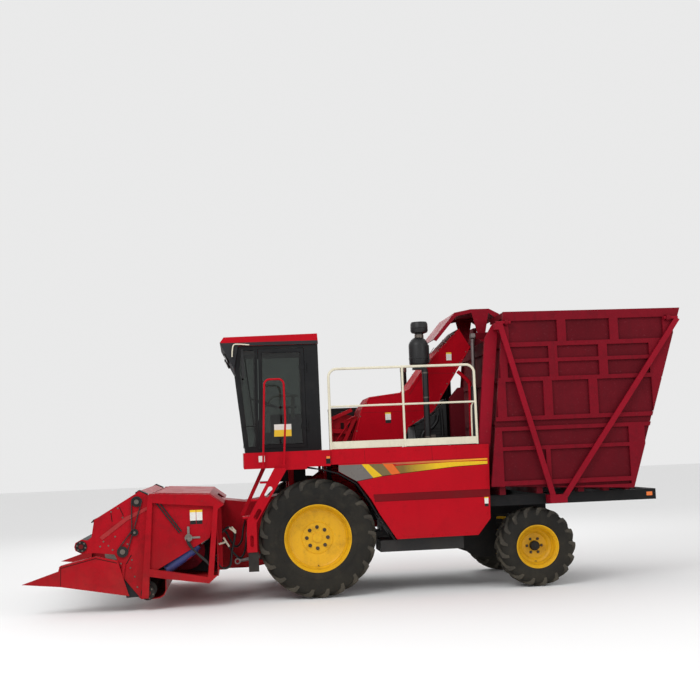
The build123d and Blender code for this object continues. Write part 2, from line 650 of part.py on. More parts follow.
with BuildPart() as header_hoods:
    with BuildSketch(side_plane(HEADER_HALF - 2)):
        with BuildLine():
            Polyline(shifted([(2060, 1450), (2060, 1458), (1376, 1420), (1196, 1286), (1202, 1280), (1378, 1412)]), close=True)
        make_face()
    extrude(amount=2 * HEADER_HALF - 4)
    with Locations((FX + 1240, 0, 1300)):
        Box(120, 800, 120, mode=Mode.SUBTRACT)
    with BuildSketch(side_plane(1573)):
        with BuildLine():
            Polyline(shifted([(2140, 1434), (2254, 1488), (2286, 1465), (2815, 1155), (2830, 1080), (2822, 1078), (2806, 1150),
                              (2282, 1455), (2254, 1476), (2144, 1424)]), close=True)
        make_face()
    extrude(amount=3146)
# rotors of the header
with BuildPart() as picking_drum:
    with Locations((FX + DRUM_X, 0, DRUM_Z)):
        Cylinder(115, 3120, rotation=(90, 0, 0))
        Cylinder(34, 3240, rotation=(90, 0, 0))
    for y in (-1540, 1540):
        with Locations((FX + DRUM_X, y, DRUM_Z)):
            Cylinder(230, 12, rotation=(90, 0, 0))
    with Locations((FX + DRUM_X, 1612, DRUM_Z)):
        Cylinder(62, 16, rotation=(90, 0, 0))
    for row in range(6):
        tines = Plane((FX + DRUM_X, 0, DRUM_Z), x_dir=(0, 1, 0), z_dir=(1, 0, 0)).rotated((0, 60 * row, 0))
        with BuildSketch(tines):
            with GridLocations(200, 1, 15, 1):
                Rectangle(12, 12)
        extrude(amount=DRUM_R)
with BuildPart() as header_auger:
    with Locations((FX + AUGER_X, 0, AUGER_Z)):
        Cylinder(105, 3080, rotation=(90, 0, 0))
    for step in range(16):
        y = -1425 + step * 190
        tilt = 13 if y < 0 else -13
        with Locations(Location((FX + AUGER_X, y, AUGER_Z), (90, 0, tilt))):
            Cylinder(AUGER_R, 8)
with BuildPart() as pan_roller:
    with Locations((FX + PAN_X, 0, PAN_Z)):
        Cylinder(PAN_R, 3100, rotation=(90, 0, 0))
with BuildPart() as nose_roller:
    with Locations((FX + NOSE_X, 0, NOSE_Z)):
        Cylinder(NOSE_R, 3130, rotation=(90, 0, 0))
        Cylinder(34, 3240, rotation=(90, 0, 0))

# crop dividers: hollow sheet wedges, open behind
DIVIDER = [(3710, 398), (3240, 354), (2400, 200), (2530, 640), (2800, 706), (3240, 606), (3260, 540)]
DIVIDER_IN = [(3240, 366), (2380, 212), (2380, 620), (2533, 630), (2800, 696), (3232, 597), (3240, 540)]
DIVIDER_PLAN = [(2300, 1590), (2850, 1590), (2900, 1480), (3120, 1480), (3710, 1585), (3710, 1610), (3300, 1645), (2300, 1645)]
with BuildPart() as dividers:
    for y in (1650, -1400):
        with BuildSketch(side_plane(y)):
            with BuildLine():
                Polyline(shifted(DIVIDER), close=True)
            make_face()
        extrude(amount=250)
        with BuildSketch(side_plane(y - 16)):
            with BuildLine():
                Polyline(shifted(DIVIDER_IN), close=True)
            make_face()
        extrude(amount=218, mode=Mode.SUBTRACT)
    with BuildSketch(Plane.XY.offset(100)):
        for side in (1, -1):
            with BuildLine():
                Polyline([(FX + x, side * y) for x, y in DIVIDER_PLAN], close=True)
            make_face()
    extrude(amount=800, mode=Mode.INTERSECT)

# ---------------------------------------------------------------- lift cylinders of the header
LIFT_FOOT = (222.0, 600.0)     # x, z of the barrel pin
LIFT_EYE = (1050.0, 470.0)     # x, z of the rod eye
LIFT_Y = 620.0
lift_foot = Vector(FX + LIFT_FOOT[0], LIFT_Y, LIFT_FOOT[1])
lift_eye = Vector(FX + LIFT_EYE[0], LIFT_Y, LIFT_EYE[1])
lift_run = (lift_eye - lift_foot).normalized()
ACROSS = (Vector(0, 0, 0), Vector(0, -2 * LIFT_Y, 0))
with BuildPart() as lift_barrels:
    for step in ACROSS:
        with Locations(lift_foot + step):
            Cylinder(42, 60, rotation=(90, 0, 0))
        with BuildSketch(Plane(lift_foot + step + lift_run * 20, z_dir=lift_run)):
            Circle(42)
        extrude(amount=520)
        with BuildSketch(Plane(lift_foot + step + lift_run * 60, z_dir=lift_run)):
            Circle(24.1)
        extrude(amount=520, mode=Mode.SUBTRACT)
        with Locations(lift_foot + step):
            Cylinder(22.1, 110, rotation=(90, 0, 0), mode=Mode.SUBTRACT)
with BuildPart() as lift_rods:
    for step in ACROSS:
        with BuildSketch(Plane(lift_foot + step + lift_run * 90, z_dir=lift_run)):
            Circle(24)
        extrude(amount=(lift_eye - lift_foot).length - 120)
        with Locations(lift_eye + step):
            Cylinder(40, 56, rotation=(90, 0, 0))
            Cylinder(25.2, 80, rotation=(90, 0, 0), mode=Mode.SUBTRACT)

# ---------------------------------------------------------------- bin
FRONT_TOP, REAR_TOP = (-2576, 3646), (-5010, 3635)
REAR_LOW, FRONT_LOW = (-4231, 1245), (-2306, 1338)
WALL = [FRONT_TOP, REAR_TOP, REAR_LOW, FRONT_LOW]


def edge_x(a, b, z):
    return a[0] + (b[0] - a[0]) * (z - a[1]) / (b[1] - a[1])


# z0, z1 of the long ribs; then x0, x1, z0, z1 of the uprights between them
RIBS = [(3520, 3646), (3172, 3232), (2710, 2765), (2192, 2248), (2060, 2112), (1245, 1300)]
UPRIGHTS = [
    (-2640, -2540, 3232, 3520), (-3420, -3300, 3232, 3520), (-4140, -4020, 3232, 3520), (-4900, -4760, 3232, 3520),
    (-2600, -2500, 2765, 3172), (-3285, -3165, 2765, 3172), (-3970, -3850, 2765, 3172), (-4860, -4550, 2765, 3172),
    (-2560, -2440, 2248, 2710), (-3190, -3070, 2248, 2710), (-3810, -3690, 2248, 2710), (-4700, -4560, 2248, 2710),
    (-2480, -2300, 1300, 2060), (-3120, -3060, 1300, 1800), (-4420, -4200, 1300, 2060), (-4300, -2306, 1340, 1400),
    (-4300, -2380, 1800, 1850), (-4900, -2500, 2960, 3010),
]
SIDE_WALLS = {}
for word, side in (("left", 1), ("right", -1)):
    with BuildPart() as wall:
        with BuildSketch(side_plane(WALL_OUT if side > 0 else -WALL_OUT + 20)):
            with BuildLine():
                Polyline(shifted(WALL), close=True)
            make_face()
        extrude(amount=20)
        with BuildSketch(side_plane(WALL_OUT + RIB if side > 0 else -WALL_OUT)):
            for z0, z1 in RIBS:
                with Locations((FX - 3650, (z0 + z1) / 2)):
                    Rectangle(3000, z1 - z0)
            for x0, x1, z0, z1 in UPRIGHTS:
                with Locations((FX + (x0 + x1) / 2, (z0 + z1) / 2)):
                    Rectangle(x1 - x0, z1 - z0)
            with BuildLine():
                Polyline(shifted(WALL), close=True)
            make_face(mode=Mode.INTERSECT)
        extrude(amount=RIB)
        if side > 0:
            for x0, x1 in ((-2625, -2585), (-4850, -4800)):
                with Locations((FX + (x0 + x1) / 2, WALL_OUT + 52, HINGE_Z)):
                    Box(x1 - x0, 36, 80)
                with Locations((FX + (x0 + x1) / 2, HINGE_Y, HINGE_Z)):
                    Cylinder(38, x1 - x0, rotation=(0, 90, 0))
                with Locations((FX + (x0 + x1) / 2, HINGE_Y, HINGE_Z)):
                    Cylinder(20.1, x1 - x0 + 10, rotation=(0, 90, 0), mode=Mode.SUBTRACT)
    SIDE_WALLS[word] = wall
bin_wall_left = SIDE_WALLS["left"]
bin_wall_right = SIDE_WALLS["right"]

# front and rear walls between the side sheets, each a sheet with outer ribs
SHEET = 20.0
END_RIBS = [(3560, 3640), (3172, 3232), (2710, 2765), (2150, 2205), (1420, 1480)]
END_IN = WALL_OUT - 20.0
with BuildPart() as bin_wall_front:
    with BuildSketch(side_plane(END_IN)):
        with BuildLine():
            Polyline([(FX + edge_x(FRONT_TOP, FRONT_LOW, z) - off, z) for z, off in
                      ((3646, RIB), (3646, RIB + SHEET), (1362, RIB + SHEET), (1362, RIB))], close=True)
        make_face()
    extrude(amount=2 * END_IN)
    for z0, z1 in END_RIBS:
        with BuildSketch(side_plane(END_IN)):
            with BuildLine():
                Polyline([(FX + edge_x(FRONT_TOP, FRONT_LOW, z0), z0), (FX + edge_x(FRONT_TOP, FRONT_LOW, z1), z1),
                          (FX + edge_x(FRONT_TOP, FRONT_LOW, z1) - RIB - 5, z1), (FX + edge_x(FRONT_TOP, FRONT_LOW, z0) - RIB - 5, z0)], close=True)
            make_face()
        extrude(amount=2 * END_IN)
    with Locations((FX - 2560, 0, 3520)):
        Box(300, 1170, 300, mode=Mode.SUBTRACT)
    with Locations((FX - 2432.5, 950, 3370)):
        Box(315, 60, 80)
    # the pin stops short of the rod's eye, which drifts from it
    with Locations((FX - 2275, 950, 3370)):
        Cylinder(22, 9, rotation=(0, 90, 0))
with BuildPart() as bin_wall_rear:
    with BuildSketch(side_plane(END_IN)):
        with BuildLine():
            Polyline([(FX + edge_x(REAR_TOP, REAR_LOW, z) + off, z) for z, off in
                      ((3635, RIB), (3635, RIB + SHEET), (1270, RIB + SHEET), (1270, RIB))], close=True)
        make_face()
    extrude(amount=2 * END_IN)
    for z0, z1 in END_RIBS:
        z1 = min(z1, 3635)
        with BuildSketch(side_plane(END_IN)):
            with BuildLine():
                Polyline([(FX + edge_x(REAR_TOP, REAR_LOW, z0), z0), (FX + edge_x(REAR_TOP, REAR_LOW, z1), z1),
                          (FX + edge_x(REAR_TOP, REAR_LOW, z1) + RIB + 5, z1), (FX + edge_x(REAR_TOP, REAR_LOW, z0) + RIB + 5, z0)], close=True)
            make_face()
        extrude(amount=2 * END_IN)
with BuildPart() as bin_floor:
    with BuildSketch(side_plane(END_IN)):
        with BuildLine():
            Polyline(shifted([(-2316, 1339), (-4196, 1249), (-4196, 1269), (-2318, 1359)]), close=True)
        make_face()
    extrude(amount=2 * END_IN)
    for x0, x1 in ((-2500, -2420), (-3000, -2920), (-3560, -3480), (-3900, -3820), (-4180, -4120)):
        top = 1252 + (x0 + 4196) * 0.0478
        with Locations((FX + (x0 + x1) / 2, 0, (top + 1222) / 2)):
            Box(x1 - x0, 2 * END_IN, top - 1222)

# hood over the elevator's mouth, carried by the bin
with BuildPart() as elevator_hood:
    with BuildSketch(side_plane(600)):
        with BuildLine():
            Polyline(shifted([(-1750, 3376), (-2068, 3744), (-2298, 3786), (-2559, 3787), (-2703, 3710), (-2703, 3660),
                              (-2691, 3660), (-2691, 3703), (-2556, 3775), (-2300, 3774), (-2074, 3732), (-1764, 3372)]), close=True)
        make_face()
    extrude(amount=1200)
    for y in (600, -590):
        with BuildSketch(side_plane(y)):
            with BuildLine():
                Polyline(shifted([(-2300, 3780), (-2559, 3780), (-2475, 3350), (-2405, 3350)]), close=True)
            make_face()
        extrude(amount=10)
        with BuildSketch(side_plane(y)):
            with BuildLine():
                Polyline(shifted([(-1750, 3376), (-2068, 3744), (-2298, 3786), (-2559, 3787), (-2703, 3710), (-2703, 3660),
                                  (-2640, 3660), (-2540, 3735), (-2310, 3735), (-2095, 3695), (-1795, 3352)]), close=True)
            make_face()
        extrude(amount=10)
    for y in (555, -590):
        with Locations((FX - 2490, y + 17.5, 3370)):
            Box(90, 35, 50)
    for y in (609, -609):
        with Locations((FX - 2440, y, 3372)):
            Cylinder(40, 18, rotation=(90, 0, 0))
        with Locations((FX - 2520, y, 3330)):
            Box(80, 18, 40)

# fixed frame of the tipping hinge: front post, V brace, apex plate and pins
POST = [(-2185, 1215), (-2185, 1890), (-2190, 1990), (-2335, 3310), (-2440, 3480), (-2500, 3480), (-2500, 3310),
        (-2347, 1990), (-2268, 1330), (-2268, 1215)]
# x, z of top and foot
BRACES = [((-4955, 3490), (-3232, 1120)), ((-2512, 3495), (-3132, 1120))]
with BuildPart() as hinge_frame:
    with BuildSketch(side_plane(1268)):
        with BuildLine():
            Polyline(shifted(POST), close=True)
        make_face()
    extrude(amount=60)
    with Locations((FX - 2226.5, 1204, 1265)):
        Box(83, 128, 100)
    with Locations((FX - 2477, 1317.5, 3452)):
        Box(62, 205, 90)
    for (xa, za), (xb, zb) in BRACES:
        top, bottom = Vector(FX + xa, HINGE_Y, za), Vector(FX + xb, HINGE_Y, zb)
        with BuildSketch(Plane(top, x_dir=(0, 1, 0), z_dir=bottom - top)):
            Rectangle(32, 70)
        extrude(amount=(bottom - top).length)
    with Locations((FX - 3182, 1312.5, 1145)):
        Box(230, 225, 110)
    for x0, x1 in ((-2660, -2460), (-4960, -4770)):
        with Locations((FX + (x0 + x1) / 2, HINGE_Y, HINGE_Z)):
            Cylinder(20, x1 - x0, rotation=(0, 90, 0))

# bin lift cylinder in front of the bin
BIN_FOOT, BIN_EYE = (750.0, 1300.0), (950.0, 3370.0)   # y, z
foot = Vector(FX - 2235, BIN_FOOT[0], BIN_FOOT[1])
eye = Vector(FX - 2235, BIN_EYE[0], BIN_EYE[1])
run = (eye - foot).normalized()
with BuildPart() as bin_barrel:
    with Locations(foot):
        Cylinder(46, 84, rotation=(0, 90, 0))
    with BuildSketch(Plane(foot + run * 20, z_dir=run)):
        Circle(46)
    extrude(amount=1380)
    with BuildSketch(Plane(foot + run * 80, z_dir=run)):
        Circle(28.1)
    extrude(amount=1380, mode=Mode.SUBTRACT)
    with Locations(foot):
        Cylinder(22.1, 110, rotation=(0, 90, 0), mode=Mode.SUBTRACT)
with BuildPart() as bin_rod:
    with BuildSketch(Plane(foot + run * 110, z_dir=run)):
        Circle(28)
    extrude(amount=(eye - foot).length - 145)
    with Locations(eye):
        Cylinder(42, 60, rotation=(0, 90, 0))
        Cylinder(22.2, 90, rotation=(0, 90, 0), mode=Mode.SUBTRACT)

PIECES = {
    "main_frame": main_frame, "front_axle": front_axle, "rear_axle": rear_axle,
    "knuckle_left": knuckle_left, "knuckle_right": knuckle_right,
    "side_panels": side_panels, "body_frame": body_frame, "deck": deck, "wheel_arches": wheel_arches,
    "engine_block": engine_block, "tanks": tanks, "elevator_casing": elevator_casing, "fan_duct": fan_duct,
    "engine_stacks": engine_stacks, "railings": railings,
    "cab_platform": cab_platform, "cab_shell": cab_shell, "cab_glass": cab_glass, "cab_roof": cab_roof,
    "cab_seat": cab_seat, "cab_controls": cab_controls, "cab_door": cab_door, "door_glass": door_glass,
    "ladder": ladder, "ladder_step": ladder_step, "mirrors": mirrors,
    "feeder_house": feeder_house, "header_ends": header_ends, "header_frame": header_frame,
    "header_hoods": header_hoods, "picking_drum": picking_drum, "header_auger": header_auger,
    "pan_roller": pan_roller, "nose_roller": nose_roller, "dividers": dividers,
    "lift_barrels": lift_barrels, "lift_rods": lift_rods,
    "bin_wall_left": bin_wall_left, "bin_wall_right": bin_wall_right, "bin_wall_front": bin_wall_front,
    "bin_wall_rear": bin_wall_rear, "bin_floor": bin_floor, "elevator_hood": elevator_hood,
    "hinge_frame": hinge_frame, "bin_barrel": bin_barrel, "bin_rod": bin_rod,
}
PIECES.update(WHEEL_PARTS)
for name, piece in PIECES.items():
    piece.part.label = name
    export_step(piece.part, f"parts/{name}.step")
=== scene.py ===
import math
import random

import bmesh
import bpy
from mathutils import Matrix, Vector


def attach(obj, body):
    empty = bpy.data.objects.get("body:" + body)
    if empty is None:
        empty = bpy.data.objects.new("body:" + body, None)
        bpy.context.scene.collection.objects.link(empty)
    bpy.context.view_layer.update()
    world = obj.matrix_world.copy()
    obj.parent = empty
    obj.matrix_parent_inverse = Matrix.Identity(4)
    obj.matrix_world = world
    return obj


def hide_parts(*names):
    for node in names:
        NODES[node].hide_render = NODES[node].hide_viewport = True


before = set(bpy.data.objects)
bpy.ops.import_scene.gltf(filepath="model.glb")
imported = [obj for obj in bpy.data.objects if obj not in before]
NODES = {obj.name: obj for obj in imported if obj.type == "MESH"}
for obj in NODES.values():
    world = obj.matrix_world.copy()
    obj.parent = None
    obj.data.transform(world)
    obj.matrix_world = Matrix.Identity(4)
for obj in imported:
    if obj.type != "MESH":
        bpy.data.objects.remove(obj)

random.seed(11)
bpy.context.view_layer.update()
FX = 0.650                      # front axle, from the frame's middle


def V(x, y, z):
    """A point given from the front axle, in the row frame."""
    return Vector((FX + x, y, z))


# ------------------------------------------------------------------ materials
def material(name, base, rough=0.4, metal=0.0, tone=0.10, grime=(0.05, 0.025, 0.02), grime_amt=0.3,
             dust=(0.30, 0.24, 0.18), dust_top=1.1, dust_amt=0.3, streak=0.15, wear=0.0, wear_colour=(0.3, 0.28, 0.26),
             grain=160.0, bump=0.05, wave=0.0, coat=0.0, sheen=0.0, ior=1.5, transmission=0.0, spec=0.5, fade=None, lit_ribs=None):
    mat = bpy.data.materials.new(name)
    mat.use_nodes = True
    nt = mat.node_tree
    n, link = nt.nodes, nt.links.new
    shader = n["Principled BSDF"]
    obj = n.new("ShaderNodeTexCoord").outputs["Object"]

    def noise(scale, detail=4.0, rough_=0.55, stretch=None):
        t = n.new("ShaderNodeTexNoise")
        t.inputs["Scale"].default_value = scale
        t.inputs["Detail"].default_value = detail
        t.inputs["Roughness"].default_value = rough_
        if stretch:
            m = n.new("ShaderNodeMapping")
            m.inputs["Scale"].default_value = stretch
            link(obj, m.inputs["Vector"])
            link(m.outputs["Vector"], t.inputs["Vector"])
        else:
            link(obj, t.inputs["Vector"])
        return t.outputs["Fac"]

    def remap(value, a, b, c, d):
        m = n.new("ShaderNodeMapRange")
        for socket, v in zip(("From Min", "From Max", "To Min", "To Max"), (a, b, c, d)):
            m.inputs[socket].default_value = v
        link(value, m.inputs["Value"])
        return m.outputs["Result"]

    def maths(op, a, b):
        m = n.new("ShaderNodeMath")
        m.operation = op
        for i, v in enumerate((a, b)):
            if isinstance(v, (int, float)):
                m.inputs[i].default_value = v
            else:
                link(v, m.inputs[i])
        return m.outputs[0]

    def mixed(fac, a, colour):
        m = n.new("ShaderNodeMix")
        m.data_type = "RGBA"
        link(fac, m.inputs[0])
        link(a, m.inputs[6])
        m.inputs[7].default_value = (*colour, 1)
        return m.outputs[2]

    broad = noise(1.1, 5.0)
    mottle = noise(6.5, 9.0, 0.7)
    hsv = n.new("ShaderNodeHueSaturation")
    hsv.inputs["Color"].default_value = (*base, 1)
    link(remap(broad, 0.3, 0.7, 1 - tone, 1 + tone), hsv.inputs["Value"])
    colour = hsv.outputs["Color"]
    z = n.new("ShaderNodeSeparateXYZ")
    link(obj, z.inputs[0])
    if fade:                    # x where it starts, x where it is full, colour
        colour = mixed(remap(z.outputs["X"], fade[0], fade[1], 0.0, 1.0), colour, fade[2])
    if lit_ribs:                  # distance from the middle plane where the ribs begin, and their colour: painted light, the ribs lighter as if lit against the shaded wall
        colour = mixed(remap(maths("ABSOLUTE", z.outputs["Y"], 0.0), lit_ribs[0], lit_ribs[0] + 0.004, 0.0, 1.0), colour, lit_ribs[1])
    colour = mixed(remap(mottle, 0.50, 0.72, 0.0, grime_amt), colour, grime)
    if streak:
        runs = noise(1.0, 6.0, 0.6, (14.0, 14.0, 0.8))
        colour = mixed(remap(runs, 0.52, 0.75, 0.0, streak), colour, grime)
    low = remap(z.outputs["Z"], 0.0, dust_top, 1.0, 0.0)
    dusty = maths("MULTIPLY", maths("MULTIPLY", low, remap(noise(3.0, 8.0, 0.65), 0.35, 0.65, 0.2, 1.0)), dust_amt)
    colour = mixed(dusty, colour, dust)
    if wear:
        chips = remap(noise(38.0, 5.0, 0.6), 0.62, 0.68, 0.0, wear)
        colour = mixed(chips, colour, wear_colour)
    link(colour, shader.inputs["Base Color"])
    link(maths("ADD", remap(mottle, 0.35, 0.7, rough - 0.06, rough + 0.14), maths("MULTIPLY", dusty, 0.3)), shader.inputs["Roughness"])
    shader.inputs["Metallic"].default_value = metal
    shader.inputs["IOR"].default_value = ior
    shader.inputs["Specular IOR Level"].default_value = spec
    shader.inputs["Coat Weight"].default_value = coat
    shader.inputs["Coat Roughness"].default_value = 0.12
    shader.inputs["Sheen Weight"].default_value = sheen
    shader.inputs["Transmission Weight"].default_value = transmission
    height = maths("MULTIPLY", noise(grain, 2.0), 0.25)
    if wave:
        height = maths("ADD", height, maths("MULTIPLY", noise(1.7, 1.0), wave))
    b = n.new("ShaderNodeBump")
    b.inputs["Strength"].default_value = bump
    b.inputs["Distance"].default_value = 0.02
    link(height, b.inputs["Height"])
    link(b.outputs["Normal"], shader.inputs["Normal"])
    mat.diffuse_color = (*base, 1)
    return mat


M = {
    "red": material("red_paint", (0.40, 0.0030, 0.0105), rough=0.36, spec=0.07, wave=9.0, bump=0.08, tone=0.07, grime=(0.16, 0.004, 0.008), grime_amt=0.22, streak=0.10, dust_amt=0.10, dust=(0.30, 0.10, 0.07)),
    "header_red": material("header_red_paint", (0.34, 0.0032, 0.0095), rough=0.42, spec=0.08, wave=6.0, bump=0.08, tone=0.16, grime=(0.10, 0.006, 0.008), grime_amt=0.42, streak=0.25, wear=0.30, wear_colour=(0.17, 0.03, 0.03), dust_amt=0.15, dust=(0.26, 0.13, 0.09), dust_top=0.9),
    # bin red: painted shade, darker than the body's red because the bin lies in shade; its ribs are painted lighter, as
    # lit
    "bin": material("bin_paint", (0.098, 0.0038, 0.0085), lit_ribs=(1.345, (0.165, 0.0042, 0.0115)), rough=0.50, spec=0.06, wave=11.0, bump=0.12, tone=0.20, grime=(0.075, 0.006, 0.010), grime_amt=0.45, streak=0.40, wear=0.20, wear_colour=(0.22, 0.05, 0.06), dust_amt=0.0),
    # lighter copy of the bin's red: painted light on the braces and the elevator hood, which catch the light against
    # the shaded bin
    "bin_lit": material("bin_red_painted_light", (0.225, 0.0045, 0.0140), rough=0.46, spec=0.06, wave=3.0, bump=0.08, tone=0.14, grime=(0.10, 0.008, 0.012), grime_amt=0.35, streak=0.25, wear=0.25, wear_colour=(0.26, 0.07, 0.07), dust_amt=0.0),
    "pale_red": material("worn_red_paint", (0.32, 0.018, 0.020), rough=0.5, spec=0.2, grime=(0.14, 0.02, 0.02), grime_amt=0.4, wear=0.3, dust_amt=0.1),
    "black": material("black_paint", (0.0080, 0.0080, 0.0088), rough=0.48, spec=0.14, grime=(0.026, 0.023, 0.020), grime_amt=0.45, dust=(0.11, 0.09, 0.07), dust_amt=0.25),
    "dark": material("dark_frame_paint", (0.0085, 0.0090, 0.0100), rough=0.36, spec=0.16, grime=(0.026, 0.024, 0.022), grime_amt=0.3, dust=(0.10, 0.09, 0.07), dust_amt=0.1),
    "yellow": material("rim_paint", (0.66, 0.355, 0.008), rough=0.40, spec=0.25, tone=0.08, grime=(0.22, 0.105, 0.012), grime_amt=0.45, streak=0.15, wear=0.25, wear_colour=(0.07, 0.05, 0.03), dust=(0.20, 0.14, 0.06), dust_amt=0.15, dust_top=0.5),
    "cream": material("rail_paint", (0.64, 0.60, 0.47), rough=0.34, spec=0.3, grime=(0.30, 0.24, 0.17), grime_amt=0.25, streak=0.15, dust_amt=0.0),
    "tyre": material("tyre_rubber", (0.014, 0.0135, 0.0125), rough=0.82, spec=0.15, grime=(0.040, 0.036, 0.028), grime_amt=0.60, dust=(0.060, 0.052, 0.038), dust_amt=0.30, dust_top=0.8, grain=240.0, bump=0.25),
    "lug": material("tyre_lug_rubber", (0.034, 0.031, 0.027), rough=0.86, spec=0.18, grime=(0.092, 0.081, 0.062), grime_amt=0.85, dust=(0.11, 0.095, 0.070), dust_amt=0.45, dust_top=0.8, grain=200.0, bump=0.35),
    "rubber": material("plain_rubber", (0.0065, 0.0065, 0.0070), rough=0.6, spec=0.25, grime=(0.035, 0.032, 0.028), grime_amt=0.4, dust_amt=0.12, bump=0.1),
    "hose": material("hose_rubber", (0.006, 0.006, 0.007), rough=0.38, spec=0.35, grime=(0.03, 0.028, 0.024), grime_amt=0.25, dust_amt=0.05),
    "cast": material("cast_iron", (0.045, 0.047, 0.052), rough=0.62, metal=0.5, grime_amt=0.5, bump=0.3),
    "plastic": material("stack_plastic", (0.0085, 0.0085, 0.0095), rough=0.42, spec=0.35, grime=(0.03, 0.028, 0.025), grime_amt=0.3, streak=0.15, bump=0.1, dust_amt=0.1),
    "cloth": material("seat_cloth", (0.016, 0.016, 0.019), rough=0.9, grime=(0.035, 0.035, 0.035), grime_amt=0.3, grain=520.0, bump=0.5, sheen=0.25, dust_amt=0.0, streak=0.0),
    "control": material("control_plastic", (0.10, 0.105, 0.11), rough=0.55, spec=0.3, grime_amt=0.15, dust_amt=0.0, streak=0.0, bump=0.15),
    "barrel": material("cylinder_paint", (0.010, 0.010, 0.012), rough=0.35, spec=0.4, grime_amt=0.3, wear=0.2),
    "chrome": material("cylinder_rod", (0.60, 0.61, 0.62), rough=0.12, metal=1.0, tone=0.03, grime=(0.3, 0.28, 0.25), grime_amt=0.12, streak=0.0, bump=0.01),
    "rod": material("dull_rod", (0.20, 0.17, 0.165), rough=0.34, metal=0.9, tone=0.05, grime=(0.07, 0.03, 0.03), grime_amt=0.45, streak=0.1, bump=0.02, dust_amt=0.0),
    "case_red": material("casing_red_paint", (0.36, 0.0030, 0.0100), rough=0.55, spec=0.02, wave=5.0, bump=0.08, tone=0.08, grime=(0.15, 0.004, 0.008), grime_amt=0.25, streak=0.15, dust_amt=0.0),
    # the bin's front wall: the bin's painted-shade red, matt
    "bin_front": material("bin_front_red_in_painted_shade", (0.100, 0.0036, 0.0075), rough=0.70, spec=0.015, wave=5.0, bump=0.08, tone=0.20, grime=(0.055, 0.005, 0.008), grime_amt=0.40, streak=0.30, dust_amt=0.0),
    "cap_red": material("bearing_cap_red", (0.115, 0.006, 0.008), rough=0.5, spec=0.1, grime=(0.03, 0.006, 0.006), grime_amt=0.5, dust_amt=0.1),
    "steel": material("bright_steel", (0.22, 0.205, 0.185), rough=0.42, metal=0.85, grime=(0.085, 0.045, 0.025), grime_amt=0.55, wear=0.3, wear_colour=(0.12, 0.055, 0.025)),
    "bolt": material("zinc_bolts", (0.135, 0.115, 0.10), rough=0.45, metal=0.8, grime=(0.05, 0.03, 0.02), grime_amt=0.7),
    "nut": material("dark_wheel_nuts", (0.060, 0.045, 0.030), rough=0.5, metal=0.6, grime=(0.03, 0.02, 0.012), grime_amt=0.6),
    "blue": material("blue_cylinder", (0.005, 0.024, 0.165), rough=0.34, spec=0.4, grime=(0.02, 0.02, 0.04), grime_amt=0.4, wear=0.2),
    "glass": material("tinted_glass", (0.145, 0.170, 0.155), rough=0.03, tone=0.03, grime=(0.10, 0.11, 0.10), grime_amt=0.05, streak=0.04, dust_amt=0.0, bump=0.0, transmission=1.0, ior=1.45),
    "lens": material("lamp_lens", (0.66, 0.68, 0.66), rough=0.12, grime_amt=0.05, dust_amt=0.0, streak=0.0, coat=0.6, bump=0.02, tone=0.04),
    "amber": material("amber_reflector", (0.78, 0.16, 0.006), rough=0.2, grime_amt=0.1, dust_amt=0.0, streak=0.0, coat=0.4, grain=420.0, bump=0.3, tone=0.05),
    "grey_stripe": material("stripe_grey", (0.135, 0.122, 0.112), rough=0.3, spec=0.3, tone=0.10, grime_amt=0.1, streak=0.05, dust_amt=0.05),
    "olive_stripe": material("stripe_olive", (0.150, 0.110, 0.040), rough=0.3, spec=0.3, tone=0.12, grime_amt=0.1, streak=0.05, dust_amt=0.05),
    "gold_stripe": material("stripe_gold", (0.17, 0.105, 0.020), rough=0.3, fade=(FX - 1.15, FX - 1.60, (0.68, 0.43, 0.006)), spec=0.3, tone=0.10, grime_amt=0.1, streak=0.05, dust_amt=0.05),
    "yellow_stripe": material("stripe_yellow", (0.66, 0.42, 0.006), rough=0.3, spec=0.3, tone=0.06, grime_amt=0.1, streak=0.05, dust_amt=0.05),
    "line_stripe": material("stripe_line", (0.36, 0.10, 0.045), rough=0.3, fade=(FX - 1.10, FX - 2.20, (0.74, 0.30, 0.010)), spec=0.3, tone=0.06, grime_amt=0.1, streak=0.05, dust_amt=0.0),
    "fold": material("red_in_shade", (0.14, 0.0025, 0.006), rough=0.4, spec=0.1, tone=0.1, grime_amt=0.1, streak=0.1, dust_amt=0.05),
    "orange_stripe": material("stripe_orange", (0.62, 0.115, 0.012), rough=0.3, spec=0.3, tone=0.06, grime_amt=0.1, streak=0.05, dust_amt=0.05),
    "white_label": material("label_white", (0.68, 0.67, 0.62), rough=0.4, tone=0.04, grime=(0.35, 0.30, 0.24), grime_amt=0.25, streak=0.1, dust_amt=0.0),
    "yellow_label": material("label_yellow", (0.76, 0.50, 0.012), rough=0.4, tone=0.05, grime=(0.35, 0.22, 0.05), grime_amt=0.25, streak=0.1, dust_amt=0.0),
    # black for dark lines, and painted shade in slots and grooves
    "shadow": material("black_lines_and_painted_shade", (0.020, 0.003, 0.004), rough=0.7, spec=0.1, grime_amt=0.2, dust_amt=0.05),
    # near black: the visor's dark skin, and painted shade on sheets put where there is only shade
    "visor_black_and_shade": material("visor_black_and_painted_shade", (0.020, 0.021, 0.023), rough=0.70, spec=0.2, grime_amt=0.2, dust_amt=0.0, streak=0.0, bump=0.3, grain=300.0),
}

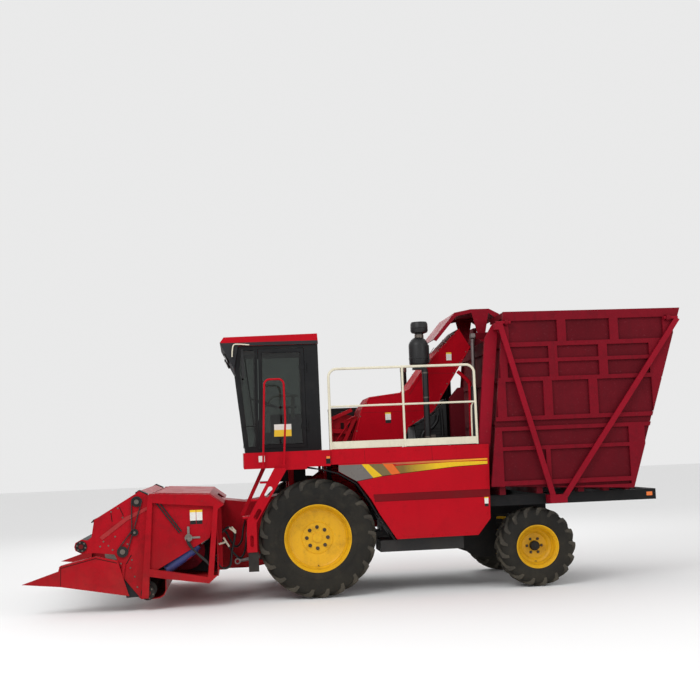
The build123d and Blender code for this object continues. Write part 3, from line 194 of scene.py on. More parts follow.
# CAD node -> material
SKIN = {
    "red": "side_panels cab_platform ladder cab_roof",
    "case_red": "elevator_casing",
    "header_red": "feeder_house header_ends header_frame header_hoods dividers",
    "bin": "bin_wall_left bin_wall_right bin_wall_rear bin_floor fan_duct header_auger",
    "bin_front": "bin_wall_front",
    "bin_lit": "elevator_hood hinge_frame",
    "black": "main_frame front_axle rear_axle knuckle_left knuckle_right body_frame wheel_arches pan_roller nose_roller",
    "dark": "deck cab_shell cab_door",
    "cast": "engine_block",
    "plastic": "tanks engine_stacks mirrors",
    "cream": "railings",
    "glass": "cab_glass door_glass",
    "cloth": "cab_seat",
    "control": "cab_controls",
    "rubber": "ladder_step",
    "steel": "picking_drum",
    "barrel": "lift_barrels bin_barrel",
    "rod": "lift_rods bin_rod",
    "tyre": "tyre_front_left tyre_front_right tyre_rear_left tyre_rear_right",
    "yellow": "rim_front_left rim_front_right rim_rear_left rim_rear_right",
}
for key, names in SKIN.items():
    for name in names.split():
        NODES[name].data.materials.clear()
        NODES[name].data.materials.append(M[key])
missing = [n for n in NODES if not NODES[n].data.materials or NODES[n].data.materials[0] not in M.values()]
if missing:
    raise SystemExit("no material for " + ", ".join(missing))


# ------------------------------------------------------------------ piece makers
def finish_piece(name, bm, mat, body, slot=None, bevel=0.0, segments=2, smooth=True, angle=35, origin=None):
    bmesh.ops.recalc_face_normals(bm, faces=bm.faces[:])
    mesh = bpy.data.meshes.new(name)
    bm.to_mesh(mesh)
    bm.free()
    if origin is not None:
        mesh.transform(Matrix.Translation(-origin))
    mesh.materials.append(M[mat])
    obj = bpy.data.objects.new(name, mesh)
    bpy.context.scene.collection.objects.link(obj)
    if origin is not None:
        obj.location = origin
    if smooth:
        mesh.shade_smooth()
        mesh.set_sharp_from_angle(angle=math.radians(angle))
    if bevel:
        b = obj.modifiers.new("edges", "BEVEL")
        b.width = bevel
        b.segments = segments
        b.limit_method = "ANGLE"
        b.angle_limit = math.radians(35)
        b.harden_normals = True
    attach(obj, body)
    return obj


def box_into(bm, lo, hi):
    lo, hi = Vector(lo), Vector(hi)
    c = [bm.verts.new((x, y, z)) for x in (lo.x, hi.x) for y in (lo.y, hi.y) for z in (lo.z, hi.z)]
    for f in ((0, 1, 3, 2), (4, 6, 7, 5), (0, 4, 5, 1), (2, 3, 7, 6), (0, 2, 6, 4), (1, 5, 7, 3)):
        bm.faces.new([c[i] for i in f])


def prism_into(bm, pts, y0, y1):
    """A plate with this outline in X and Z (from the front axle), between two Y."""
    a = [bm.verts.new(V(x, y0, z)) for x, z in pts]
    b = [bm.verts.new(V(x, y1, z)) for x, z in pts]
    bm.faces.new(a)
    bm.faces.new(b[::-1])
    for i in range(len(pts)):
        j = (i + 1) % len(pts)
        bm.faces.new((a[i], a[j], b[j], b[i]))


def axes(direction):
    d = Vector(direction).normalized()
    side = d.cross(Vector((0, 0, 1)))
    if side.length < 1e-3:
        side = d.cross(Vector((0, 1, 0)))
    side.normalize()
    return d, side, side.cross(d).normalized()


def lathe_into(bm, centre, direction, profile, seg=40, turn=0.0):
    """profile: (radius, distance along the axis); closed on the axis where the radius is 0."""
    d, s, u = axes(direction)
    rings = []
    for r, t in profile:
        if r <= 1e-6:
            rings.append([bm.verts.new(centre + d * t)])
        else:
            rings.append([bm.verts.new(centre + d * t + (s * math.cos(a) + u * math.sin(a)) * r)
                          for a in (turn + 2 * math.pi * k / seg for k in range(seg))])
    for a, b in zip(rings, rings[1:]):
        for k in range(seg):
            j = (k + 1) % seg
            q = [a[k % len(a)], a[j % len(a)], b[j % len(b)], b[k % len(b)]]
            q = [v for i, v in enumerate(q) if v not in q[:i]]
            if len(q) > 2:
                bm.faces.new(q)


def disc_into(bm, centre, direction, r, h, seg=32, turn=0.0, r2=None):
    lathe_into(bm, centre, direction, [(0, 0), (r, 0), (r if r2 is None else r2, h), (0, h)], seg, turn)


def curve_points(pts, per=8, closed=False):
    """Points on a smooth line through the given ones."""
    pts = [Vector(p) for p in pts]
    n = len(pts)
    out = []
    for i in range(n if closed else n - 1):
        p0 = pts[(i - 1) % n] if closed or i > 0 else pts[0] * 2 - pts[1]
        p1, p2 = pts[i], pts[(i + 1) % n]
        p3 = pts[(i + 2) % n] if closed or i + 2 < n else pts[-1] * 2 - pts[-2]
        for k in range(per):
            t = k / per
            out.append(0.5 * ((2 * p1) + (p2 - p0) * t + (2 * p0 - 5 * p1 + 4 * p2 - p3) * t * t + (3 * p1 - p0 - 3 * p2 + p3) * t ** 3))
    if not closed:
        out.append(pts[-1])
    return out


def tube_into(bm, pts, r, seg=12, closed=False, flat=None):
    """A round tube, or with flat=(half width, half thickness) a strap lying along Y."""
    pts = [Vector(p) for p in pts]
    n = len(pts)
    rings = []
    side = None
    for i, p in enumerate(pts):
        a = pts[(i - 1) % n] if closed or i > 0 else p
        b = pts[(i + 1) % n] if closed or i < n - 1 else p
        d = (b - a).normalized()
        if side is None:
            side = axes(d)[1]
        side = (side - d * side.dot(d))
        side = side.normalized() if side.length > 1e-5 else axes(d)[1]
        up = side.cross(d).normalized()
        if flat:
            w = Vector((0, 1, 0))
            t = d.cross(w).normalized()
            rings.append([bm.verts.new(p + w * flat[0] * i0 + t * flat[1] * j0) for i0, j0 in ((1, 1), (-1, 1), (-1, -1), (1, -1))])
        else:
            rings.append([bm.verts.new(p + (side * math.cos(q) + up * math.sin(q)) * r) for q in (2 * math.pi * k / seg for k in range(seg))])
    m = len(rings[0])
    for i in range(n if closed else n - 1):
        a, b = rings[i], rings[(i + 1) % n]
        for k in range(m):
            j = (k + 1) % m
            bm.faces.new((a[k], a[j], b[j], b[k]))
    if not closed:
        bm.faces.new(rings[0][::-1])
        bm.faces.new(rings[-1])


def piece(name, mat, body, slot=None, **kw):
    """Runs the given fillers on one mesh and makes one piece of it."""
    fillers = kw.pop("fill")
    bm = bmesh.new()
    for f, *args in fillers:
        f(bm, *args)
    return finish_piece(name, bm, mat, body, slot, **kw)


def hexes(spots, direction, r=0.011, h=0.009):
    """Washer and hexagon head at each spot."""
    d = Vector(direction)
    out = []
    for p in spots:
        out.append((disc_into, p, d, r * 1.45, h * 0.3, 20))
        out.append((disc_into, p + d * h * 0.3, d, r, h, 6, random.uniform(0, 1)))
    return out


# ------------------------------------------------------------------ tyres with bar tread
#        x      hub z   tyre r  rim r   y in   y out   lugs per side, bar sweep in degrees
TYRES = {
    "front": (0.0, 0.770, 0.770, 0.414, 0.900, 1.330, 21, 17.0),
    "rear": (-2.910, 0.522, 0.522, 0.260, 0.880, 1.280, 17, 20.0),
}


def carcass_into(bm, centre, tr, rr, half, depth):
    """Rubber body without its bars: bead, bulged side wall, shoulder, crown."""
    span = tr - rr
    prof = [(rr + 0.026, 0.80), (rr + 0.030, 0.90), (rr + 0.052, 0.955), (rr + 0.10 * span + 0.03, 0.965), (rr + 0.34 * span, 0.992),
            (rr + 0.50 * span, 1.0), (rr + 0.66 * span, 0.985), (tr - depth - 0.055, 0.955), (tr - depth - 0.030, 0.90),
            (tr - depth - 0.014, 0.78), (tr - depth - 0.004, 0.45), (tr - depth, 0.0)]
    full = [(r, half * t) for r, t in prof] + [(r, -half * t) for r, t in prof[-2::-1]]
    full.append(full[0])
    lathe_into(bm, centre, (0, 1, 0), full, 96)
    # raised rings on the side walls
    for s in (1, -1):
        for r, w in ((rr + 0.30 * span, 0.006), (rr + 0.075, 0.005)):
            t = half * 0.985 if r > rr + 0.1 else half * 0.955
            lathe_into(bm, centre, (0, s, 0), [(r - w, t - 0.004), (r - w * 0.6, t + 0.003), (r + w * 0.6, t + 0.003), (r + w, t - 0.004), (r - w, t - 0.004)], 96)


def lugs_into(bm, centre, tr, rr, half, depth, count, sweep):
    """Swept bars from the middle over the shoulder, left and right row half a step apart."""
    #          y share, sweep share, outer radius off the top, base radius off the top, half width in degrees
    stations = [(-0.06, 0.0, 0.000, depth + 0.012, 0.9), (0.30, 0.26, 0.001, depth + 0.012, 1.0), (0.62, 0.56, 0.004, depth + 0.014, 1.12),
                (0.90, 0.86, 0.012, depth + 0.045, 1.28), (0.985, 0.97, 0.045, depth + 0.080, 1.35), (0.998, 1.04, 0.105, depth + 0.125, 1.2)]
    step = 360.0 / count
    unit = 0.0215 / tr * 180 / math.pi
    for s in (1, -1):
        for k in range(count):
            start = step * (k + (0.5 if s < 0 else 0.0)) + random.uniform(-0.3, 0.3)
            rings = []
            for i, (ys, sw, top, base, w) in enumerate(stations):
                a0 = math.radians(start + sweep * sw)
                aw = math.radians(unit * w)
                top_r, base_r = tr - top, tr - base
                out = 1.0 if i < 3 else (1.004 if i == 3 else 1.0)
                quad = []
                for r, k2, push in ((top_r, 0.82, 1.0), (top_r, -0.82, 1.0), (base_r, -1.25, 0.0), (base_r, 1.25, 0.0)):
                    a = a0 + aw * k2
                    y = s * half * ys * out
                    if i >= 4 and push == 0.0:
                        y = s * half * (ys - 0.08)
                    quad.append(bm.verts.new(centre + Vector((math.sin(a) * r, y, math.cos(a) * r))))
                rings.append(quad)
            for a, b in zip(rings, rings[1:]):
                for q in range(4):
                    j = (q + 1) % 4
                    bm.faces.new((a[q], a[j], b[j], b[q]))
            bm.faces.new(rings[0][::-1])
            bm.faces.new(rings[-1])


for wheel, (x, hz, tr, rr, yi, yo, count, sweep) in TYRES.items():
    half = (yo - yi) / 2 - 0.001
    depth = 0.030 if wheel == "front" else 0.024
    for word, s in (("left", 1), ("right", -1)):
        mid = V(x, s * (yi + yo) / 2, hz)
        body = f"wheel_{wheel}_{word}"
        bm = bmesh.new()
        carcass_into(bm, mid, tr, rr, half, depth)
        carcass = finish_piece(f"tyre_{wheel}_{word}_carcass", bm, "tyre", body, "tyre_rubber", origin=mid, angle=50)
        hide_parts(f"tyre_{wheel}_{word}")
        bm = bmesh.new()
        lugs_into(bm, mid, tr - 0.001, rr, half, depth, count, sweep)
        finish_piece(f"tyre_{wheel}_{word}_bars", bm, "lug", body, "tyre_rubber", origin=mid, bevel=0.004, angle=40)
        # wheel nuts, hub cap, valve
        disc_y = 1.142 if wheel == "front" else 1.052
        pcd, holes, nut = (0.138, 8, 0.019) if wheel == "front" else (0.100, 6, 0.015)
        d = Vector((0, s, 0))
        fill = []
        for k in range(holes):
            a = 2 * math.pi * k / holes
            p = V(x, s * disc_y, hz) + Vector((math.cos(a), 0, math.sin(a))) * pcd
            fill += [(disc_into, p - d * 0.004, d, nut * 1.3, 0.008, 24), (disc_into, p + d * 0.004, d, nut, 0.018, 6), (disc_into, p + d * 0.022, d, nut * 0.5, 0.012, 16)]
        piece(f"wheel_nuts_{wheel}_{word}", "nut", body, "bright_steel", fill=fill, bevel=0.001)
        if wheel == "rear":     # black hub cap
            piece(f"hub_cap_{word}", "black", body, "black_paint", bevel=0.003, fill=[
                (lathe_into, V(x, s * disc_y, hz), d, [(0, 0.0), (0.066, 0.0), (0.064, 0.050), (0.052, 0.064), (0.030, 0.066), (0.028, 0.072), (0, 0.072)], 40)])
        else:                   # flat centre with its ring
            piece(f"hub_ring_{word}", "yellow", body, "rim_paint", fill=[
                (lathe_into, V(x, s * disc_y, hz), d, [(0.196, 0.0), (0.200, 0.006), (0.206, 0.006), (0.212, 0.0), (0.196, 0.0)], 64)])
        # stepped well between the rim's edge and its disc
        edge = rr - 0.0125
        deep = (yo - 0.060) - disc_y
        piece(f"rim_well_{wheel}_{word}", "yellow", body, "rim_paint", angle=25, fill=[
            (lathe_into, V(x, s * disc_y, hz), d, [(edge, deep), (edge - 0.004, deep - 0.004), (edge - 0.012, deep * 0.62), (edge - 0.026, deep * 0.50), (edge - 0.032, deep * 0.30),
                                                   (edge - 0.060, 0.030), (edge - 0.066, 0.002), (edge - 0.060, -0.004), (edge - 0.004, 0.020), (edge - 0.002, deep)], 96)])
        # dark inner face, as seen from under the machine: painted shade, a black disc over the rim's inner side, which
        # lies in shade
        lip = rr - 0.016
        piece(f"rim_back_shade_{wheel}_{word}", "black", body, "black_paint", fill=[
            (lathe_into, V(x, s * (yi + 0.085), hz), d, [(0.150 if wheel == "front" else 0.100, 0.0), (lip, 0.0), (lip, 0.003), (0.150 if wheel == "front" else 0.100, 0.003), (0.150 if wheel == "front" else 0.100, 0.0)], 64)])
        piece(f"valve_{wheel}_{word}", "rubber", body, "tyre_rubber", fill=[(disc_into, V(x, s * (disc_y + 0.03), hz) + Vector((0, 0, -(edge - 0.045))), d, 0.006, 0.035, 10)])

# ------------------------------------------------------------------ stripes on the side panels
def stripe(name, mat, pts, lift=0.0):
    for word, s in (("left", 1), ("right", -1)):
        piece(f"stripe_{name}_{word}", mat, "chassis", "red_paint" if mat == "red" else None, smooth=False,
              fill=[(prism_into, pts, s * (1.3000 + lift), s * (1.3008 + lift))])


stripe("field", "grey_stripe", [(-0.302, 1.702), (-0.698, 1.700), (-0.868, 1.541), (-0.531, 1.486), (-0.302, 1.624)])
stripe("olive", "olive_stripe", [(-0.698, 1.699), (-0.881, 1.697), (-0.996, 1.551), (-0.868, 1.541)])
stripe("yellow", "yellow_stripe", [(-0.606, 1.702), (-0.698, 1.699), (-0.868, 1.541), (-0.752, 1.520)], 0.0008)
stripe("orange", "orange_stripe", [(-0.881, 1.698), (-1.013, 1.694), (-1.111, 1.563), (-0.996, 1.550)], 0.0008)
stripe("gold", "gold_stripe", [(-1.042, 1.664), (-1.822, 1.684), (-2.299, 1.680), (-2.298, 1.641), (-1.841, 1.624), (-1.111, 1.563)], 0.0008)
stripe("upper", "line_stripe", [(-0.870, 1.704), (-2.300, 1.716), (-2.299, 1.695), (-1.067, 1.680), (-1.013, 1.694), (-0.881, 1.698)], 0.0008)
stripe("edge", "shadow", [(-0.531, 1.486), (-0.868, 1.541), (-1.111, 1.563), (-1.841, 1.624), (-2.298, 1.641), (-2.298, 1.635), (-1.841, 1.618), (-1.111, 1.557), (-0.868, 1.534), (-0.527, 1.479)])


def strip_into(bm, a, b, w, y0, y1):
    """A straight bar lying in the plane of X and Z."""
    dx, dz = b[0] - a[0], b[1] - a[1]
    k = w / 2 / math.hypot(dx, dz)
    nx, nz = -dz * k, dx * k
    prism_into(bm, [(a[0] + nx, a[1] + nz), (b[0] + nx, b[1] + nz), (b[0] - nx, b[1] - nz), (a[0] - nx, a[1] - nz)], y0, y1)


# fold, seams, labels of the side panels
for s, word in ((1, "left"), (-1, "right")):
    bm = bmesh.new()
    rows = [[V(x, s * y, z) for x, y, z in pts] for pts in (
        [(-0.745, 1.2990, 1.3060), (-0.745, 1.3080, 1.2960), (-0.762, 1.3050, 1.2100), (-0.762, 1.2990, 1.2060)],
        [(-2.290, 1.2990, 1.3120), (-2.290, 1.3080, 1.3020), (-2.288, 1.3050, 1.2120), (-2.288, 1.2990, 1.2080)])]
    vs = [[bm.verts.new(p) for p in row] for row in rows]
    for i in range(4):
        j = (i + 1) % 4
        bm.faces.new((vs[0][i], vs[0][j], vs[1][j], vs[1][i]))
    bm.faces.new(vs[0])
    bm.faces.new(vs[1][::-1])
    finish_piece(f"panel_fold_{word}", bm, "fold", "chassis", "red_paint", smooth=False)
    piece(f"panel_seams_{word}", "fold", "chassis", "red_paint", smooth=False, fill=[
        (strip_into, (-0.655, 1.716), (-0.648, 1.900), 0.004, s * 1.2995, s * 1.3008),
        (strip_into, (-1.545, 1.722), (-1.540, 1.900), 0.004, s * 1.2995, s * 1.3008),
        (strip_into, (-0.310, 1.716), (-2.300, 1.726), 0.004, s * 1.2995, s * 1.3006)])
    piece(f"panel_edges_{word}", "red", "chassis", "red_paint", bevel=0.002, fill=[
        (strip_into, (-2.295, 1.895), (-2.271, 0.930), 0.022, s * 1.2990, s * 1.3040),
        (strip_into, (-2.272, 0.930), (-2.105, 0.727), 0.022, s * 1.2990, s * 1.3040),
        (strip_into, (-2.105, 0.727), (-1.038, 0.722), 0.022, s * 1.2990, s * 1.3040),
        (strip_into, (-1.038, 0.722), (-0.827, 1.050), 0.022, s * 1.2990, s * 1.3040)])
    spots = [V(px, s * 1.3000, pz) for px, pz in ((-0.34, 1.86), (-0.96, 1.86), (-1.32, 1.86), (-1.86, 1.86), (-2.26, 1.86), (-2.25, 1.45), (-2.24, 1.00), (-1.95, 0.76), (-1.50, 0.76), (-1.12, 0.76), (-0.92, 1.12))]
    piece(f"panel_bolts_{word}", "red", "chassis", "red_paint", fill=hexes(spots, (0, s, 0), 0.008, 0.006))


def label(name, x0, x1, z0, z1, y, body, s=1, top="white_label", foot=0.28, head=0.0):
    """A blank label of up to three plain fields."""
    zf, zh = z0 + (z1 - z0) * foot, z1 - (z1 - z0) * head
    piece(name, top, body, smooth=False, fill=[(prism_into, [(x0, zf), (x1, zf), (x1, zh), (x0, zh)], s * y, s * (y + 0.0011))])
    if foot:
        piece(name + "_foot", "rubber", body, smooth=False, fill=[(prism_into, [(x0, z0), (x1, z0), (x1, zf), (x0, zf)], s * y, s * (y + 0.0011))])
    if head:
        piece(name + "_head", "yellow_label", body, smooth=False, fill=[(prism_into, [(x0, zh), (x1, zh), (x1, z1), (x0, z1)], s * y, s * (y + 0.0011))])


label("panel_label", -2.286, -2.214, 1.083, 1.205, 1.3001, "chassis", foot=0.30, head=0.12)
label("elevator_label_low", -1.133, -1.056, 2.246, 2.393, 0.4401, "chassis", foot=0.30, head=0.14)
label("elevator_label_high", -2.027, -1.953, 3.092, 3.202, 0.4401, "chassis", foot=0.0, head=0.20)
label("platform_label", 0.655, 0.735, 1.785, 1.865, 1.3301, "chassis", foot=0.0)
piece("platform_socket", "black", "chassis", "black_paint", bevel=0.002, fill=[(box_into, V(-0.196, 1.329, 1.729), V(-0.140, 1.336, 1.829))])
piece("platform_socket_top", "amber", "chassis", None, fill=[(box_into, V(-0.192, 1.3361, 1.796), V(-0.144, 1.3385, 1.826))])
piece("rail_reflector", "amber", "chassis", None, bevel=0.001, fill=[(box_into, V(-4.530, 1.2001, 1.125), V(-4.450, 1.205, 1.175))])
piece("rail_reflector_right", "amber", "chassis", None, bevel=0.001, fill=[(box_into, V(-4.530, -1.205, 1.125), V(-4.450, -1.2001, 1.175))])

# ------------------------------------------------------------------ elevator and deck
CASE = [(-0.610, 1.909), (-0.610, 2.045), (-0.723, 2.454), (-0.843, 2.617), (-1.280, 2.665), (-1.395, 2.701), (-1.671, 3.062), (-2.142, 3.528)]
BACK = [(-2.290, 3.285), (-1.721, 2.401), (-1.355, 2.191), (-1.252, 1.909)]
for s, word in ((1, "left"), (-1, "right")):
    fill = []
    for line, off in ((CASE, 0.010), (BACK, -0.010)):
        for a, b in zip(line, line[1:]):
            dx, dz = b[0] - a[0], b[1] - a[1]
            k = off / math.hypot(dx, dz)
            n0 = (dz * k, -dx * k)
            n0 = (-n0[0], -n0[1])
            fill.append((strip_into, (a[0] - n0[0] * -1, a[1] - n0[1] * -1), (b[0] - n0[0] * -1, b[1] - n0[1] * -1), 0.020, s * 0.4395, s * 0.4460))
    piece(f"elevator_flange_{word}", "red", "chassis", "red_paint", bevel=0.0015, fill=fill)
    piece(f"elevator_seams_{word}", "fold", "chassis", "red_paint", smooth=False, fill=[
        (strip_into, (-1.402, 2.625), (-1.935, 3.352), 0.007, s * 0.4399, s * 0.4410),
        (strip_into, (-1.700, 2.922), (-2.045, 2.908), 0.004, s * 0.4399, s * 0.4410),
        (strip_into, (-0.735, 2.402), (-1.700, 2.402), 0.004, s * 0.4399, s * 0.4410)])
    spots = []
    for line in (CASE, BACK):
        for a, b in zip(line, line[1:]):
            count = max(1, int(math.hypot(b[0] - a[0], b[1] - a[1]) / 0.16))
            for k in range(count):
                t = (k + 0.5) / count
                px, pz = a[0] + (b[0] - a[0]) * t, a[1] + (b[1] - a[1]) * t
                cx, cz = -1.35, 2.50
                d0 = math.hypot(cx - px, cz - pz)
                spots.append(V(px + (cx - px) / d0 * 0.012, s * 0.4460, pz + (cz - pz) / d0 * 0.012))
    piece(f"elevator_bolts_{word}", "bolt", "chassis", "bright_steel", fill=hexes(spots, (0, s, 0), 0.006, 0.005))

# slide frame beside the elevator's foot
piece("elevator_foot_frame", "header_red", "chassis", "red_paint", bevel=0.003, fill=[
    (strip_into, (-0.300, 2.340), (-0.300, 1.912), 0.050, 0.300, 0.352), (strip_into, (-0.300, 2.330), (-0.600, 2.452), 0.050, 0.300, 0.352),
    (strip_into, (-0.430, 1.912), (-0.640, 2.330), 0.050, 0.300, 0.352), (strip_into, (-0.560, 1.912), (-0.690, 2.300), 0.030, 0.300, 0.352),
    (strip_into, (-0.300, 2.170), (-0.520, 2.150), 0.060, 0.310, 0.345), (box_into, V(-0.62, 0.29, 1.9115), V(-0.28, 0.36, 1.925)),
    (prism_into, [(-0.285, 1.925), (-0.285, 2.335), (-0.520, 2.390), (-0.690, 2.350), (-0.606, 2.040), (-0.606, 1.925)], 0.260, 0.268)])
# black plates in the slots: painted shade in their openings
piece("elevator_foot_slots", "shadow", "chassis", "red_paint", smooth=False, fill=[
    (box_into, V(-0.490, 0.2681, 2.140), V(-0.440, 0.2695, 2.280)), (box_into, V(-0.600, 0.2681, 2.130), V(-0.540, 0.2695, 2.270))])
piece("elevator_foot_rods", "header_red", "chassis", "bright_steel", fill=[
    (tube_into, [V(-0.320, 0.372, 1.960), V(-0.560, 0.372, 2.290)], 0.011), (tube_into, [V(-0.520, 0.372, 2.310), V(-0.640, 0.372, 2.360)], 0.009)])
piece("bent_guard_tube", "red", "chassis", "red_paint", fill=[
    (tube_into, curve_points([V(-2.080, 0.560, 2.924), V(-2.150, 0.560, 2.860), V(-2.225, 0.560, 2.780), V(-2.245, 0.560, 2.700), V(-2.238, 0.560, 2.300), V(-2.228, 0.560, 1.910)]), 0.026, 16)])
piece("rail_hand_loop", "cream", "chassis", "rail_paint", fill=[
    (tube_into, curve_points([V(-2.152, 1.262, 2.470), V(-2.125, 1.245, 2.440), V(-2.112, 1.240, 2.380), V(-2.106, 1.240, 2.030), V(-2.106, 1.240, 1.912)]), 0.011, 12)])

# fins and fittings of the radiator housing, lid of the battery box
for s, word in ((1, "left"), (-1, "right")):
    piece(f"radiator_fins_{word}", "rubber", "chassis", "stack_black", smooth=False, fill=[
        (strip_into, (-1.500 - 0.0, z), (-1.910, z), 0.012, s * 0.3702, s * 0.3760) for z in (1.94, 1.98, 2.02, 2.06, 2.10, 2.14)])
piece("radiator_pipes", "hose", "chassis", "stack_black", fill=[
    (tube_into, curve_points([V(-1.560, 0.400, 1.912), V(-1.560, 0.400, 2.020), V(-1.600, 0.402, 2.110), V(-1.700, 0.402, 2.150), V(-1.780, 0.402, 2.240), V(-1.800, 0.402, 2.330)]), 0.024),
    (tube_into, curve_points([V(-1.860, 0.402, 1.912), V(-1.860, 0.402, 2.200), V(-1.850, 0.402, 2.420)]), 0.018)])
piece("radiator_fittings", "bolt", "chassis", "bright_steel", bevel=0.001, fill=[
    (disc_into, V(-1.700, 0.430, 1.900), (0, 0, 1), 0.016, 0.075, 12), (disc_into, V(-1.430, 0.470, 1.900), (0, 0, 1), 0.014, 0.060, 12),
    (box_into, V(-1.760, 0.377, 2.00), V(-1.640, 0.390, 2.06))])
piece("battery_box_lid", "plastic", "chassis", "stack_black", bevel=0.006, fill=[
    (box_into, V(-0.865, -1.115, 2.480), V(-0.375, -0.685, 2.520))])

# dark screen on the far side, between the radiator and the duct: a sheet of painted shade closing the gap, which lies
# in shade
piece("radiator_shade_screen", "visor_black_and_shade", "chassis", "stack_black", bevel=0.001, fill=[
    (prism_into, [(-1.500, 1.905), (-2.160, 1.905), (-2.160, 2.900), (-2.020, 2.760), (-1.740, 2.320), (-1.500, 2.200)], -0.4240, -0.4180)])

# black guard sheet beside the oil tank, ahead of the rear axle
for s, word in ((1, "left"), (-1, "right")):
    piece(f"tank_guard_{word}", "black", "chassis", "black_paint", bevel=0.002, fill=[
        (prism_into, [(-2.065, 1.040), (-2.065, 0.476), (-2.150, 0.400), (-2.300, 0.345), (-2.500, 0.345), (-2.560, 0.420), (-2.560, 1.040)], s * 0.4020, s * 0.4080)])

# pre-cleaner bowl, clamp and shoulder of the air cleaner; caps and bands on the exhaust
piece("precleaner_bowl", "plastic", "chassis", "stack_black", fill=[
    (lathe_into, V(-1.545, 0.690, 0), (0, 0, 1), [(0, 3.452), (0.062, 3.452), (0.108, 3.468), (0.120, 3.492), (0.120, 3.520), (0.116, 3.524), (0.120, 3.528), (0.119, 3.585), (0.106, 3.614), (0, 3.624)], 48)])
piece("precleaner_clamp", "bolt", "chassis", "bright_steel", fill=[
    (lathe_into, V(-1.540, 0.690, 0), (0, 0, 1), [(0.0585, 3.385), (0.0625, 3.387), (0.0625, 3.440), (0.0585, 3.442), (0.0585, 3.385)], 40)])
piece("cleaner_body", "plastic", "chassis", "stack_black", fill=[
    (lathe_into, V(-1.524, 0.690, 0), (0, 0, 1), [(0, 3.030), (0.128, 3.030), (0.135, 3.040), (0.135, 3.100), (0.139, 3.104), (0.139, 3.120), (0.135, 3.124), (0.135, 3.290), (0.131, 3.320), (0.100, 3.370), (0.064, 3.398), (0, 3.398)], 48),
    (box_into, V(-1.665, 0.640, 3.050), V(-1.560, 0.740, 3.290))])
piece("cleaner_bands", "bolt", "chassis", "bright_steel", fill=[
    (lathe_into, V(-1.600, 0.690, z), (0, 0, 1), [(0.0425, 0), (0.0455, 0.001), (0.0455, 0.020), (0.0425, 0.021), (0.0425, 0)], 32) for z in (2.020, 2.560, 2.900)])
piece("cleaner_boot", "rubber", "chassis", "stack_black", fill=[
    (lathe_into, V(-1.600, 0.690, 0), (0, 0, 1), [(0.042, 1.902), (0.062, 1.902), (0.062, 1.930), (0.050, 1.960), (0.054, 1.975), (0.050, 1.990), (0.054, 2.005), (0.0425, 2.030)], 32)])
piece("exhaust_shield", "steel", "chassis", "bright_steel", fill=[
    (lathe_into, V(-1.500, -0.690, 0), (0, 0, 1), [(0.096, 1.990), (0.101, 1.992), (0.101, 2.560), (0.096, 2.562), (0.096, 1.990)], 40),
    (lathe_into, V(-1.500, -0.690, 0), (0, 0, 1), [(0.0452, 3.020), (0.050, 3.022), (0.050, 3.100), (0.0452, 3.102), (0.0452, 3.020)], 32)])

# ------------------------------------------------------------------ header, left end: drive
Y = 1.600
DRUM, NOSE, PAN, TOPSHAFT, IDLER = (2.470, 0.745), (2.978, 0.831), (2.171, 0.220), (2.284, 1.356), (2.317, 0.976)


def wheel_into(bm, at, y, r, w, s=1, hub=0.4):
    disc_into(bm, V(at[0], s * y, at[1]), (0, s, 0), r, w, 36)
    disc_into(bm, V(at[0], s * (y + w), at[1]), (0, s, 0), r * hub, 0.012, 24)


piece("drive_sprockets", "rubber", "header", "black_paint", bevel=0.001, fill=[
    (wheel_into, TOPSHAFT, 1.592, 0.062, 0.022), (wheel_into, IDLER, 1.592, 0.045, 0.022)])
piece("drive_hubs", "bolt", "header", "bright_steel", bevel=0.001, fill=[
    (disc_into, V(TOPSHAFT[0], 1.614, TOPSHAFT[1]), (0, 1, 0), 0.030, 0.020, 24), (disc_into, V(IDLER[0], 1.614, IDLER[1]), (0, 1, 0), 0.018, 0.018, 6)])
piece("drum_sprocket_face", "rubber", "drum", "black_paint", bevel=0.001, fill=[(disc_into, V(DRUM[0], 1.6205, DRUM[1]), (0, 1, 0), 0.066, 0.003, 40)])
piece("drum_sprocket_hub", "bolt", "drum", "bright_steel", bevel=0.001, fill=[
    (disc_into, V(DRUM[0], 1.6236, DRUM[1]), (0, 1, 0), 0.032, 0.010, 24), (disc_into, V(DRUM[0], 1.6336, DRUM[1]), (0, 1, 0), 0.014, 0.006, 6)])
loop = []
for c, rad, a0, a1 in ((TOPSHAFT, 0.064, 175, 10), (DRUM, 0.066, 20, -190)):
    for k in range(9):
        a = math.radians(a0 + (a1 - a0) * k / 8)
        loop.append(V(c[0] + rad * math.cos(a), 1.610, c[1] + rad * math.sin(a)))
    if c is TOPSHAFT:
        for k in range(5):
            a = math.radians(-150 - 60 * k / 4)
            loop.append(V(IDLER[0] + 0.047 * math.cos(a) + 0.075, 1.610, IDLER[1] + 0.047 * math.sin(a)))
piece("drive_chain", "hose", "header", "black_paint", fill=[(tube_into, loop, 0.01, 8, True, (0.007, 0.006))])

